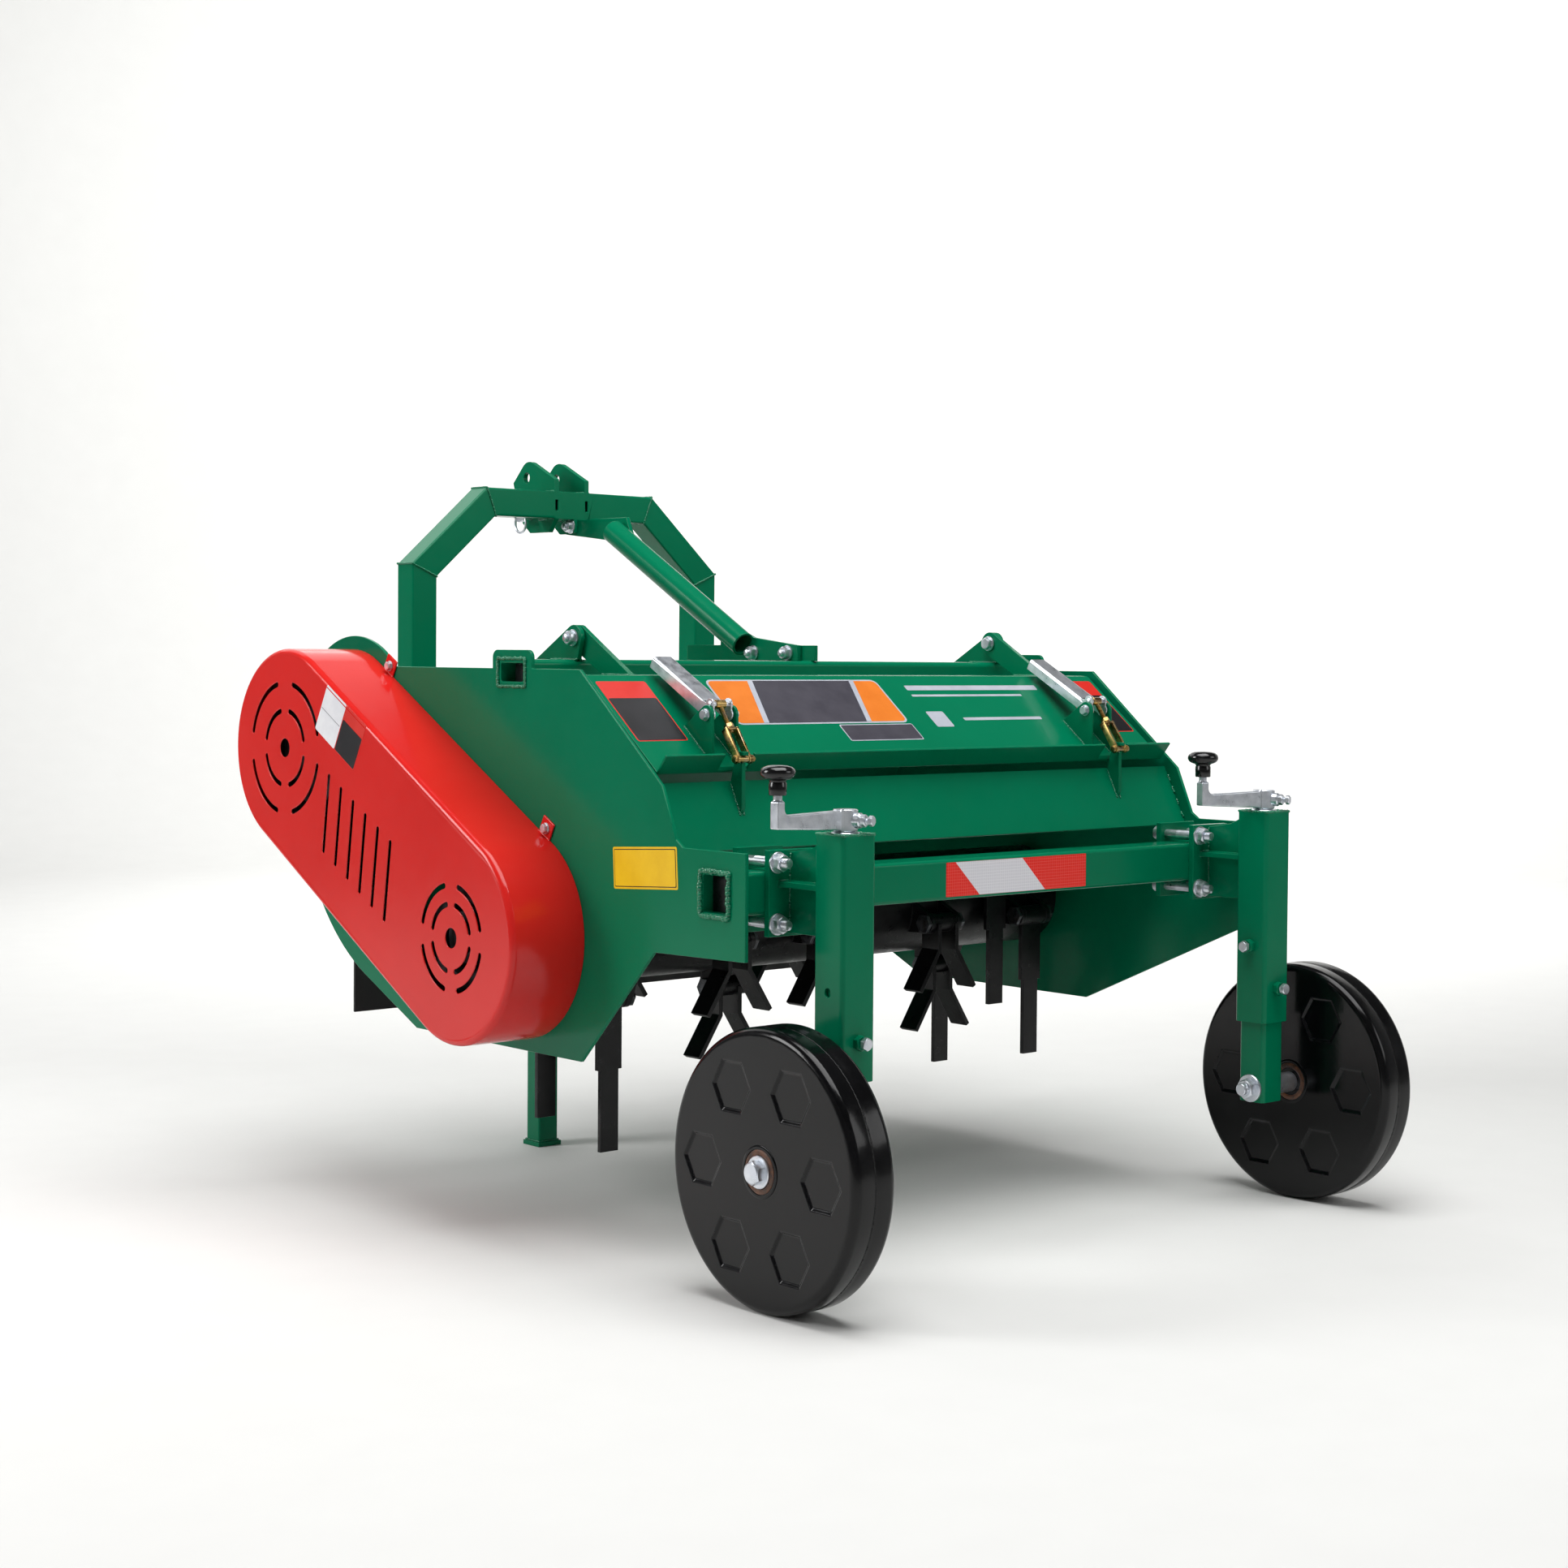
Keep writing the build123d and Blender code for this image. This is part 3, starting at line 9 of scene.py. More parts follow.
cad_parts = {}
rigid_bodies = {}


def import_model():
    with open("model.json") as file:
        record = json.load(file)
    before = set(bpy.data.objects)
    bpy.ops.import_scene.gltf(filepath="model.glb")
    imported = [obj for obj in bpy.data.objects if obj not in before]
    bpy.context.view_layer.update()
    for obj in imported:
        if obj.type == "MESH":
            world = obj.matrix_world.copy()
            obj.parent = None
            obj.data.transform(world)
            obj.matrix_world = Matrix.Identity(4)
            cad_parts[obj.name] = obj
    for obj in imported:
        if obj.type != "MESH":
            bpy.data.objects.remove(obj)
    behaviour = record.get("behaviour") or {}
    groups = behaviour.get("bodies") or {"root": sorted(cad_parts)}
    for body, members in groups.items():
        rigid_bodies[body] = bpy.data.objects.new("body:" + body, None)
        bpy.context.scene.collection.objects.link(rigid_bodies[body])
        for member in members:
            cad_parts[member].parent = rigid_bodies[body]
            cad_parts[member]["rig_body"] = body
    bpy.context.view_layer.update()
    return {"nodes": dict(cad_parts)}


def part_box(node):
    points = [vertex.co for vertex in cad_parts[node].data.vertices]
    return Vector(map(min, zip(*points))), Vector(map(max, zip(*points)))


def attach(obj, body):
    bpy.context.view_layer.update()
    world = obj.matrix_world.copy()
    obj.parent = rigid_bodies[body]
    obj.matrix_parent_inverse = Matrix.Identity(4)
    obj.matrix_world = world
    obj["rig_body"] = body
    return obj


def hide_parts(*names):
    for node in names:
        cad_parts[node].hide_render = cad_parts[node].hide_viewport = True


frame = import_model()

scene = bpy.context.scene
print("frame loaded:", len(frame["nodes"]), "nodes")

# places are in millimetres: X to the right seen from behind, Y ahead of the wheel axles, Z above ground
centreX = (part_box("left_side_plate")[0].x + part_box("right_side_plate")[1].x) / 2
axleY = (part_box("left_wheel")[0].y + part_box("left_wheel")[1].y) / 2
bothWays = (-1, 1)
sides = {"left": -1, "right": 1}


def at(x, y, z):
    return Vector((centreX + x / 1000, axleY + y / 1000, z / 1000))


# lowest and highest corner of a node, to a hundredth of a millimetre
def cornersMm(node):
    return [tuple(round(reach * 1000, 2) for reach in corner - at(0, 0, 0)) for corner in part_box(node)]


def middleMm(node):
    return tuple((low + high) / 2 for low, high in zip(*cornersMm(node)))


# places that several pieces share; an axis along X is given as (y, z)
legX = middleMm("right_inner_leg")[0]
latchX = middleMm("right_latch_handle")[0]
plateX = cornersMm("right_side_plate")[1][0]
wheelX, wheelY, wheelZ = middleMm("right_wheel")
standX, standY = middleMm("parking_stand")[:2]
beamLow, beamHigh = cornersMm("rear_beam")
sleeveLow, sleeveHigh = cornersMm("right_leg_sleeve")
sleeveHalf = -sleeveLow[1]   # the sleeves are square, with their middle at Y 0
rotorAxis = middleMm("lower_pulley")[1:]
driveAxis = middleMm("shaft_tube")[1:]
coverRise = (0, 172, 136)   # the way up the rear cover's slope


# materials; colours are sRGB hex values
def linear(hexText):
    channels = [int(hexText[i:i + 2], 16) / 255 for i in (1, 3, 5)]
    curve = [c / 12.92 if c <= 0.04045 else ((c + 0.055) / 1.055) ** 2.4 for c in channels]
    return (*curve, 1.0)


def addNode(tree, kind, settings=None, links=None):
    node = tree.nodes.new(kind)
    for key, value in (settings or {}).items():
        if key in node.inputs:
            node.inputs[key].default_value = value
        else:
            setattr(node, key, value)
    for key, source in (links or {}).items():
        tree.links.new(source, node.inputs[key])
    return node


def newMaterial(name):
    material = bpy.data.materials.new(name)
    material.use_nodes = True
    tree = material.node_tree
    shader = tree.nodes["Principled BSDF"]
    place = addNode(tree, "ShaderNodeTexCoord").outputs["Object"]
    return material, tree, shader, place


# sprayed two-pack enamel on steel: deep even colour, slight orange peel, edges lighter where the film is thin
# and rubs, which is also a painted highlight along the edges
def enamel(name, settings):
    material, tree, shader, place = newMaterial(name)
    patch = addNode(tree, "ShaderNodeTexNoise",
                    {"Scale": 1000 / settings["patchMm"], "Detail": 4.0, "Roughness": 0.55},
                    {"Vector": place})
    share = addNode(tree, "ShaderNodeMapRange", {"From Min": 0.32, "From Max": 0.62},
                    {"Value": patch.outputs["Fac"]})
    tone = addNode(tree, "ShaderNodeMix", {"data_type": "RGBA", "A": linear(settings["deep"]),
                                           "B": linear(settings["base"])},
                   {"Factor": share.outputs["Result"]})
    # lighter edge crests where the chip noise lets them through: partly rubbed wear, partly a painted
    # highlight
    crest = addNode(tree, "ShaderNodeAttribute", {"attribute_name": "edgeCrest"})
    chips = addNode(tree, "ShaderNodeTexNoise",
                    {"Scale": 1000 / settings["chipMm"], "Detail": 5.0, "Roughness": 0.7},
                    {"Vector": place})
    chipped = addNode(tree, "ShaderNodeMapRange",
                      {"From Min": 0.46, "From Max": 0.6, "To Max": settings["edgeWearAndHighlightShare"]},
                      {"Value": chips.outputs["Fac"]})
    rubbedAndLitEdge = addNode(tree, "ShaderNodeMath", {"operation": "MULTIPLY"},
                     {0: crest.outputs["Fac"], 1: chipped.outputs["Result"]})
    wornAndLitEdge = addNode(tree, "ShaderNodeMix", {"data_type": "RGBA", "B": linear(settings["edge"])},
                   {"Factor": rubbedAndLitEdge.outputs["Value"], "A": tone.outputs["Result"]})
    dust = addNode(tree, "ShaderNodeTexNoise",
                   {"Scale": 1000 / settings["dustMm"], "Detail": 6.0, "Roughness": 0.75},
                   {"Vector": place})
    settled = addNode(tree, "ShaderNodeMapRange",
                      {"From Min": 0.52, "From Max": 0.8, "To Max": settings["dustShare"]},
                      {"Value": dust.outputs["Fac"]})
    dusty = addNode(tree, "ShaderNodeMix", {"data_type": "RGBA", "B": linear(settings["dust"])},
                    {"Factor": settled.outputs["Result"], "A": wornAndLitEdge.outputs["Result"]})
    tree.links.new(dusty.outputs["Result"], shader.inputs["Base Color"])
    gloss = addNode(tree, "ShaderNodeMapRange",
                    {"From Min": 0.35, "From Max": 0.75, "To Min": settings["smooth"],
                     "To Max": settings["rough"]}, {"Value": dust.outputs["Fac"]})
    tree.links.new(gloss.outputs["Result"], shader.inputs["Roughness"])
    peel = addNode(tree, "ShaderNodeTexNoise",
                   {"Scale": 1000 / settings["peelMm"], "Detail": 2.0}, {"Vector": place})
    bump = addNode(tree, "ShaderNodeBump", {"Strength": settings["peel"], "Distance": 0.001},
                   {"Height": peel.outputs["Fac"]})
    tree.links.new(bump.outputs["Normal"], shader.inputs["Normal"])
    shader.inputs["IOR"].default_value = 1.5
    shader.inputs["Specular IOR Level"].default_value = settings["shine"]
    return material


# machine green: a deep even coat with a soft sheen, a little lighter on the edges, as rubbed wear and as a
# painted highlight
greenEnamel = enamel("green_enamel", {
    "base": "#00714e", "deep": "#006b49", "edge": "#0f8a64", "dust": "#1c7757",
    "patchMm": 320, "chipMm": 6, "dustMm": 30, "peelMm": 5,   # real peel is near 1 mm, drawn coarser to show
    "edgeWearAndHighlightShare": 0.4, "dustShare": 0.05, "smooth": 0.16, "rough": 0.25, "peel": 0.04, "shine": 0.16})
# the same coat over weld ripples, where it pools and glints
greenBead = enamel("green_enamel_on_weld", {
    "base": "#007652", "deep": "#006b49", "edge": "#0f8a64", "dust": "#1c7757",
    "patchMm": 40, "chipMm": 6, "dustMm": 30, "peelMm": 3,
    "edgeWearAndHighlightShare": 0.0, "dustShare": 0.05, "smooth": 0.1, "rough": 0.2, "peel": 0.2, "shine": 0.6})
# guard red: bright, and glossier than the green, with lighter edges as rubbed wear and as a painted highlight
redEnamel = enamel("red_enamel", {
    "base": "#d3231f", "deep": "#cb1f1b", "edge": "#dd4a42", "dust": "#cf4a40",
    "patchMm": 320, "chipMm": 6, "dustMm": 30, "peelMm": 5,
    "edgeWearAndHighlightShare": 0.4, "dustShare": 0.04, "smooth": 0.13, "rough": 0.22, "peel": 0.04, "shine": 0.34})
# rotor black: half matt, dusty, grey on the corners, partly rubbed through and partly a painted highlight
blackEnamel = enamel("black_enamel", {
    "base": "#0d0d0f", "deep": "#08080a", "edge": "#3a3a3e", "dust": "#2a2826",
    "patchMm": 60, "chipMm": 5, "dustMm": 22, "peelMm": 4,
    "edgeWearAndHighlightShare": 0.6, "dustShare": 0.14, "smooth": 0.26, "rough": 0.46, "peel": 0.12, "shine": 0.28})
# wheel black: a clean dipped coat with long soft reflections, and pocket edges drawn lighter, partly as
# rubbed wear and partly as a painted highlight
wheelEnamel = enamel("wheel_enamel", {
    "base": "#08080a", "deep": "#050506", "edge": "#2a2a2e", "dust": "#201f20",
    "patchMm": 120, "chipMm": 5, "dustMm": 30, "peelMm": 6,
    "edgeWearAndHighlightShare": 0.4, "dustShare": 0.06, "smooth": 0.12, "rough": 0.22, "peel": 0.06, "shine": 0.28})


# plated, moulded, rubber or printed surface: mottled tone, thin film, patchy gloss, fine grain
def surface(name, settings):
    material, tree, shader, place = newMaterial(name)
    mottle = addNode(tree, "ShaderNodeTexNoise",
                     {"Scale": 1000 / settings["mottleMm"], "Detail": 5.0, "Roughness": 0.65},
                     {"Vector": place})
    share = addNode(tree, "ShaderNodeMapRange", {"From Min": 0.36, "From Max": 0.62},
                    {"Value": mottle.outputs["Fac"]})
    tone = addNode(tree, "ShaderNodeMix", {"data_type": "RGBA", "A": linear(settings["deep"]),
                                           "B": linear(settings["base"])},
                   {"Factor": share.outputs["Result"]})
    tint = addNode(tree, "ShaderNodeTexNoise",
                   {"Scale": 1000 / settings["tintMm"], "Detail": 3.0}, {"Vector": place})
    spread = addNode(tree, "ShaderNodeMapRange",
                     {"From Min": 0.5, "From Max": 0.72, "To Max": settings["filmShare"]},
                     {"Value": tint.outputs["Fac"]})
    film = addNode(tree, "ShaderNodeMix", {"data_type": "RGBA", "B": linear(settings["film"])},
                   {"Factor": spread.outputs["Result"], "A": tone.outputs["Result"]})
    tree.links.new(film.outputs["Result"], shader.inputs["Base Color"])
    gloss = addNode(tree, "ShaderNodeMapRange",
                    {"From Min": 0.3, "From Max": 0.7, "To Min": settings["smooth"],
                     "To Max": settings["rough"]}, {"Value": mottle.outputs["Fac"]})
    tree.links.new(gloss.outputs["Result"], shader.inputs["Roughness"])
    grain = addNode(tree, "ShaderNodeTexNoise",
                    {"Scale": 1000 / settings["grainMm"], "Detail": 4.0}, {"Vector": place})
    bump = addNode(tree, "ShaderNodeBump", {"Strength": settings["grain"], "Distance": 0.0006},
                   {"Height": grain.outputs["Fac"]})
    tree.links.new(bump.outputs["Normal"], shader.inputs["Normal"])
    shader.inputs["Metallic"].default_value = settings["metallic"]
    return material


# bright zinc plate on bolts and cranks: pale blue-white satin with cloudy patches
zincPlate = surface("zinc_plate", {
    "base": "#e0e4ea", "deep": "#cdd2d9", "film": "#d2d8e4", "mottleMm": 16, "tintMm": 30,
    "grainMm": 3.0, "filmShare": 0.6, "smooth": 0.26, "rough": 0.38, "grain": 0.03, "metallic": 0.92})
# zinc that has worked in soil: grey, blotched brown
dulledZinc = surface("dulled_zinc", {
    "base": "#6a6c70", "deep": "#3f4043", "film": "#57504a", "mottleMm": 9, "tintMm": 20,
    "grainMm": 2.2, "filmShare": 0.6, "smooth": 0.3, "rough": 0.5, "grain": 0.2, "metallic": 1.0})
# yellow passivated zinc: straw and bronze with a pinkish bloom
yellowZinc = surface("yellow_zinc", {
    "base": "#c9ab6c", "deep": "#97784a", "film": "#ab9a90", "mottleMm": 12, "tintMm": 18,
    "grainMm": 2.0, "filmShare": 0.55, "smooth": 0.2, "rough": 0.4, "grain": 0.1, "metallic": 1.0})
# bare turned steel: mid grey with a faint brown oil film
turnedSteel = surface("turned_steel", {
    "base": "#a8a9ab", "deep": "#85868a", "film": "#8c8378", "mottleMm": 20, "tintMm": 40,
    "grainMm": 1.6, "filmShare": 0.5, "smooth": 0.26, "rough": 0.48, "grain": 0.15, "metallic": 1.0})
# sand-cast iron: dark, coarse and a little rusty
castIron = surface("cast_iron", {
    "base": "#4a4b4e", "deep": "#323335", "film": "#57483c", "mottleMm": 9, "tintMm": 30,
    "grainMm": 2.4, "filmShare": 0.5, "smooth": 0.5, "rough": 0.72, "grain": 0.5, "metallic": 0.75})
# grease pressed out of a hub: brown, lumpy, half dry
wornGrease = surface("worn_grease", {
    "base": "#5a3722", "deep": "#2e1b11", "film": "#7a4a2a", "mottleMm": 7, "tintMm": 16,
    "grainMm": 3.0, "filmShare": 0.6, "smooth": 0.3, "rough": 0.62, "grain": 0.6, "metallic": 0.0})
# rolled rubber sheet: matt black with pale dust
skirtRubber = surface("skirt_rubber", {
    "base": "#1d1d1e", "deep": "#131314", "film": "#34322f", "mottleMm": 26, "tintMm": 60,
    "grainMm": 2.6, "filmShare": 0.5, "smooth": 0.52, "rough": 0.74, "grain": 0.35, "metallic": 0.0})
# fabric-faced belt rubber: matt black, rubbed grey
beltRubber = surface("belt_rubber", {
    "base": "#222224", "deep": "#161617", "film": "#3a3a3c", "mottleMm": 12, "tintMm": 20,
    "grainMm": 1.8, "filmShare": 0.5, "smooth": 0.55, "rough": 0.8, "grain": 0.5, "metallic": 0.0})
# moulded phenolic: hard polished black
knobPhenolic = surface("knob_phenolic", {
    "base": "#0e0e0f", "deep": "#080809", "film": "#1d1d1f", "mottleMm": 18, "tintMm": 30,
    "grainMm": 3.0, "filmShare": 0.4, "smooth": 0.1, "rough": 0.22, "grain": 0.04, "metallic": 0.0})
# printed vinyl film: flat even colour with a half gloss
vinylTones = {
    "red": ("#d42a20", "#cc251c"), "black": ("#1a191d", "#131216"), "white": ("#e9e9ec", "#dfdfe4"),
    "orange": ("#e07a22", "#d8721c"), "silver": ("#b7bac4", "#a9adb8"), "grey": ("#45434c", "#3d3b44"),
    "yellow": ("#f2c417", "#ebbb10")}
vinyl = {}
for tone, (base, deep) in vinylTones.items():
    vinyl[tone] = surface("vinyl_" + tone, {
        "base": base, "deep": deep, "film": deep, "mottleMm": 40, "tintMm": 60,
        "grainMm": 4.0, "filmShare": 0.5, "smooth": 0.3, "rough": 0.35, "grain": 0.03, "metallic": 0.0})

# prismatic reflective sheeting: glossy film over small cells that flash lighter at their seams
prismCell = {"cellMm": 4.5, "seamFrom": 0.02, "seamTo": 0.12, "flash": 0.7, "smooth": 0.16, "rough": 0.34}


def prismSheet(name, base, flash):
    material, tree, shader, place = newMaterial(name)
    cells = addNode(tree, "ShaderNodeTexVoronoi",
                    {"feature": "DISTANCE_TO_EDGE", "Scale": 1000 / prismCell["cellMm"], "Randomness": 0.0},
                    {"Vector": place})
    seam = addNode(tree, "ShaderNodeMapRange",
                   {"From Min": prismCell["seamFrom"], "From Max": prismCell["seamTo"],
                    "To Min": prismCell["flash"], "To Max": 0.0}, {"Value": cells.outputs["Distance"]})
    tone = addNode(tree, "ShaderNodeMix", {"data_type": "RGBA", "A": linear(base), "B": linear(flash)},
                   {"Factor": seam.outputs["Result"]})
    tree.links.new(tone.outputs["Result"], shader.inputs["Base Color"])
    gloss = addNode(tree, "ShaderNodeMapRange", {"To Min": prismCell["smooth"], "To Max": prismCell["rough"]},
                    {"Value": seam.outputs["Result"]})
    tree.links.new(gloss.outputs["Result"], shader.inputs["Roughness"])
    return material


prismRed = prismSheet("prism_red", "#e2231a", "#ee5a4c")
prismWhite = prismSheet("prism_white", "#d6d5db", "#ecebef")
print("materials ready")

# degrees past which an edge shades as a crease
crease = {"steel": 34, "soft": 50, "knob": 60}


def finishPiece(name, bm, material, body, sharpDegrees=None):
    mesh = bpy.data.meshes.new(name)
    for face in bm.faces:
        face.smooth = True
    bm.to_mesh(mesh)
    bm.free()
    mesh.materials.append(material)
    if sharpDegrees:
        mesh.set_sharp_from_angle(angle=math.radians(sharpDegrees))
    piece = bpy.data.objects.new(name, mesh)
    scene.collection.objects.link(piece)
    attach(piece, body)
    return piece


def bodyOf(node):
    return frame["nodes"][node]["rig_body"]


# a new piece that stands for a node
def fitInstead(bm, node, ending, material, sharpDegrees):
    piece = finishPiece(node + ending, bm, material, bodyOf(node), sharpDegrees)
    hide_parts(node)


# dressed copies of the solids
solidCopy = {"mergeMm": 0.02, "flatDegrees": 0.6}


def copySolid(node):
    bm = bmesh.new()
    bm.from_mesh(frame["nodes"][node].data)
    bmesh.ops.remove_doubles(bm, verts=bm.verts, dist=solidCopy["mergeMm"] / 1000)
    bmesh.ops.dissolve_limit(bm, angle_limit=math.radians(solidCopy["flatDegrees"]),
                             verts=bm.verts, edges=bm.edges)
    return bm


# breaks the edges as a press, saw or welder leaves them, and marks their crests for the paint, which draws
# them lighter as rubbed wear and as a painted highlight
def breakEdges(bm, edgeMm, segments=2, sharpDegrees=32, chosen=None):
    sharp = [e for e in chosen or bm.edges
             if len(e.link_faces) == 2 and e.calc_face_angle(0) > math.radians(sharpDegrees)]
    crest = bm.verts.layers.float.new("edgeCrest")
    made = bmesh.ops.bevel(bm, geom=sharp, offset=edgeMm / 1000, segments=segments, profile=0.5,
                           affect="EDGES", material=-1, clamp_overlap=False)
    broken = set(made["faces"])
    for vert in made["verts"]:
        vert[crest] = 1.0 if all(f in broken for f in vert.link_faces) else 0.0


# rounds the long outer bends of folded sheet, between two broad faces
def roundFolds(bm, foldMm, longMm, broadMm2, bendDegrees=12, segments=5):
    folds = [e for e in bm.edges
             if len(e.link_faces) == 2 and e.is_convex and e.calc_length() > longMm / 1000
             and e.calc_face_angle(0) > math.radians(bendDegrees)
             and all(f.calc_area() > broadMm2 / 1e6 for f in e.link_faces)]
    bmesh.ops.bevel(bm, geom=folds, offset=foldMm / 1000, segments=segments, profile=0.5,
                    affect="EDGES", material=-1, clamp_overlap=False)


def showInstead(bm, node, material, slot):
    piece = finishPiece(node + ".dressed", bm, material, bodyOf(node))
    piece.modifiers.new("evenShading", "WEIGHTED_NORMAL").keep_sharp = True
    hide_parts(node)


def dress(node, material, slot, edgeMm):
    bm = copySolid(node)
    breakEdges(bm, edgeMm)
    showInstead(bm, node, material, slot)


# painted plates and castings, with the width of their broken edges
greenEdges = {"left_side_plate": 1.2, "right_side_plate": 1.2, "brace": 1.0, "gearbox_housing": 2.0,
              "shaft_tube": 0.8, "bearing_housings": 1.5, "front_clamp_plates": 1.0}
for node, edgeMm in greenEdges.items():
    dress(node, greenEnamel, "green_paint", edgeMm)

# bend radii of folded sheet and drawn tube; length and face area tell a bend from other edges
foldedSheet = {"longMm": 500, "broadMm2": 8000, "edgeMm": 0.9,
               "foldMm": {"rear_cover": 4, "hood_sheet": 4, "lower_rear_panel": 4}}
drawnTube = {"longMm": 80, "broadMm2": 3000, "edgeMm": 0.9,
             "foldMm": {"rear_beam": 4, "top_cross_tube": 4, "front_beam": 4, "headstock_frame": 3.5,
                        "left_leg_sleeve": 4, "right_leg_sleeve": 4, "left_inner_leg": 3.5,
                        "right_inner_leg": 3.5, "parking_stand": 3}}
for stock in (foldedSheet, drawnTube):
    for node, foldMm in stock["foldMm"].items():
        bm = copySolid(node)
        roundFolds(bm, foldMm, stock["longMm"], stock["broadMm2"])
        breakEdges(bm, stock["edgeMm"])
        showInstead(bm, node, greenEnamel, "green_paint")

# the guard's outer face is drawn in a little, so that its label stays within the solid's width
guardFace = {"drawMm": 0.6, "nearMm": 0.05, "edgeMm": 1.2}
bm = copySolid("belt_guard")
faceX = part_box("belt_guard")[0].x
for vert in bm.verts:
    if vert.co.x - faceX < guardFace["nearMm"] / 1000:
        vert.co.x += guardFace["drawMm"] / 1000
breakEdges(bm, guardFace["edgeMm"])
showInstead(bm, "belt_guard", redEnamel, "red_paint")

flail = {"count": 12, "edgeMm": 0.7}
for number in range(1, flail["count"] + 1):
    dress(f"flail_{number:02d}", blackEnamel, "black_paint", flail["edgeMm"])

# journals get room in their bores, so the facets of a turned shaft don't cut the bore's facets
journalFit = {"playMm": 0.4, "nearMm": 0.2}
journals = {   # axes are the two that lie across the shaft
    "rotor_drum": {"axes": (1, 2), "centre": at(0, *rotorAxis), "radius": 25, "edgeMm": 1.0,
                   "finish": (blackEnamel, "black_paint")},
    "input_shaft": {"axes": (0, 2), "centre": at(0, *driveAxis), "radius": 17.5, "edgeMm": 0.5,
                    "finish": (turnedSteel, "bare_steel")}}


def slimJournal(bm, axes, centre, radius):
    for vert in bm.verts:
        arm = math.dist([vert.co[axis] for axis in axes], [centre[axis] for axis in axes]) * 1000
        if abs(arm - radius) < journalFit["nearMm"]:
            for axis in axes:
                vert.co[axis] += (centre[axis] - vert.co[axis]) * journalFit["playMm"] / arm


for node, journal in journals.items():
    bm = copySolid(node)
    slimJournal(bm, journal["axes"], journal["centre"], journal["radius"])
    breakEdges(bm, journal["edgeMm"])
    showInstead(bm, node, *journal["finish"])

# the other solids, with material, slot and broken edge
plainDress = {
    "flail_bolts": (dulledZinc, "zinc_steel", 0.6), "top_link_pin": (zincPlate, "zinc_steel", 0.6),
    "lower_link_pins": (zincPlate, "zinc_steel", 1.0), "cross_shaft": (turnedSteel, "bare_steel", 0.5),
    "bevel_gear": (turnedSteel, "bare_steel", 0.5), "upper_pulley": (castIron, "cast_pulley", 1.0),
    "lower_pulley": (castIron, "cast_pulley", 1.0), "v_belts": (beltRubber, "belt_rubber", 0.6),
    "front_skirt": (skirtRubber, "skirt_rubber", 0.8), "skirt_strip": (greenEnamel, "green_paint", 0.8)}
for node, finish in plainDress.items():
    dress(node, *finish)
print("solids dressed")


# tools for small pieces, made in millimetres with Z along their axis
mergeMm = 0.001


def aimed(place, axis):
    turn = Vector(axis).to_track_quat("Z", "Y").to_matrix().to_4x4()
    return Matrix.Translation(at(*place)) @ turn @ Matrix.Scale(0.001, 4)


def raised(spot, height):
    return spot @ Matrix.Translation((0, 0, height))


def settle(target, shape, spot):
    bmesh.ops.remove_doubles(shape, verts=shape.verts, dist=mergeMm)
    bmesh.ops.recalc_face_normals(shape, faces=shape.faces)
    bmesh.ops.transform(shape, matrix=spot, verts=shape.verts)
    store = bpy.data.meshes.new("store")
    shape.to_mesh(store)
    shape.free()
    target.from_mesh(store)
    bpy.data.meshes.remove(store)


# profile points are (radius, height)
def spun(profile, steps):
    shape = bmesh.new()
    points = [shape.verts.new((radius, 0, height)) for radius, height in profile]
    line = [shape.edges.new(pair) for pair in zip(points, points[1:])]
    bmesh.ops.spin(shape, geom=points + line, cent=(0, 0, 0), axis=(0, 0, 1), angle=2 * math.pi,
                   steps=steps, use_merge=True)
    bmesh.ops.remove_doubles(shape, verts=shape.verts, dist=mergeMm)
    return shape


def turned(target, spot, profile, steps=24):
    settle(target, spun(profile, steps), spot)


def shank(target, spot, radius, length, steps=24):
    turned(target, spot, [(0, 0), (radius, 0), (radius, length), (0, length)], steps)


# a bar with broken edges
def bar(target, spot, size, middle, edge):
    shape = bmesh.new()
    bmesh.ops.create_cube(shape, size=1.0,
                          matrix=Matrix.Translation(middle) @ Matrix.Diagonal((*size, 1.0)))
    bmesh.ops.bevel(shape, geom=shape.edges[:], offset=edge, segments=2, profile=0.5,
                    affect="EDGES", material=-1)
    settle(target, shape, spot)


# shares of the bolt's size, then of the washer's wall, of the width across flats, and of the thread's pitch
fastener = {"washer": 1.08, "washerWall": 0.2, "across": 1.58, "head": 0.66, "nut": 0.84, "pitch": 0.16,
            "washerRim": 0.7, "washerChamfer": 0.4, "hexDrop": 0.1, "hexCrown": 0.45,
            "threadDepth": 0.55, "endTaper": 0.8, "hexSteps": 30, "shankSteps": 16}


# a hexagon with the turned chamfer that real heads and nuts have
def hexagon(target, spot, across, height):
    corner = across / math.sqrt(3)
    shoulder = height - fastener["hexDrop"] * across
    crown = fastener["hexCrown"] * across
    profile = [(0, 0), (corner, 0), (corner, shoulder), (crown, height), (0, height)]
    shape = spun(profile, fastener["hexSteps"])
    for flat in range(6):
        out = Vector((math.cos(math.pi / 3 * flat), math.sin(math.pi / 3 * flat), 0))
        cut = bmesh.ops.bisect_plane(shape, geom=shape.verts[:] + shape.edges[:] + shape.faces[:],
                                     plane_co=out * across / 2, plane_no=out, clear_outer=True)
        rim = [e for e in cut["geom_cut"] if isinstance(e, bmesh.types.BMEdge)]
        bmesh.ops.contextual_create(shape, geom=rim)
    settle(target, shape, spot)


# ridges stand in for the thread's helix
def threaded(target, spot, radius, start, end, pitch):
    turns = max(2, round((end - start) / pitch))
    step = (end - start) / turns
    root = radius - fastener["threadDepth"] * pitch
    profile = [(0, start)]
    for turn in range(turns):
        profile += [(root, start + turn * step), (radius, start + (turn + 0.5) * step)]
    profile += [(radius - fastener["endTaper"] * pitch, end), (0, end)]
    turned(target, spot, profile, fastener["shankSteps"])


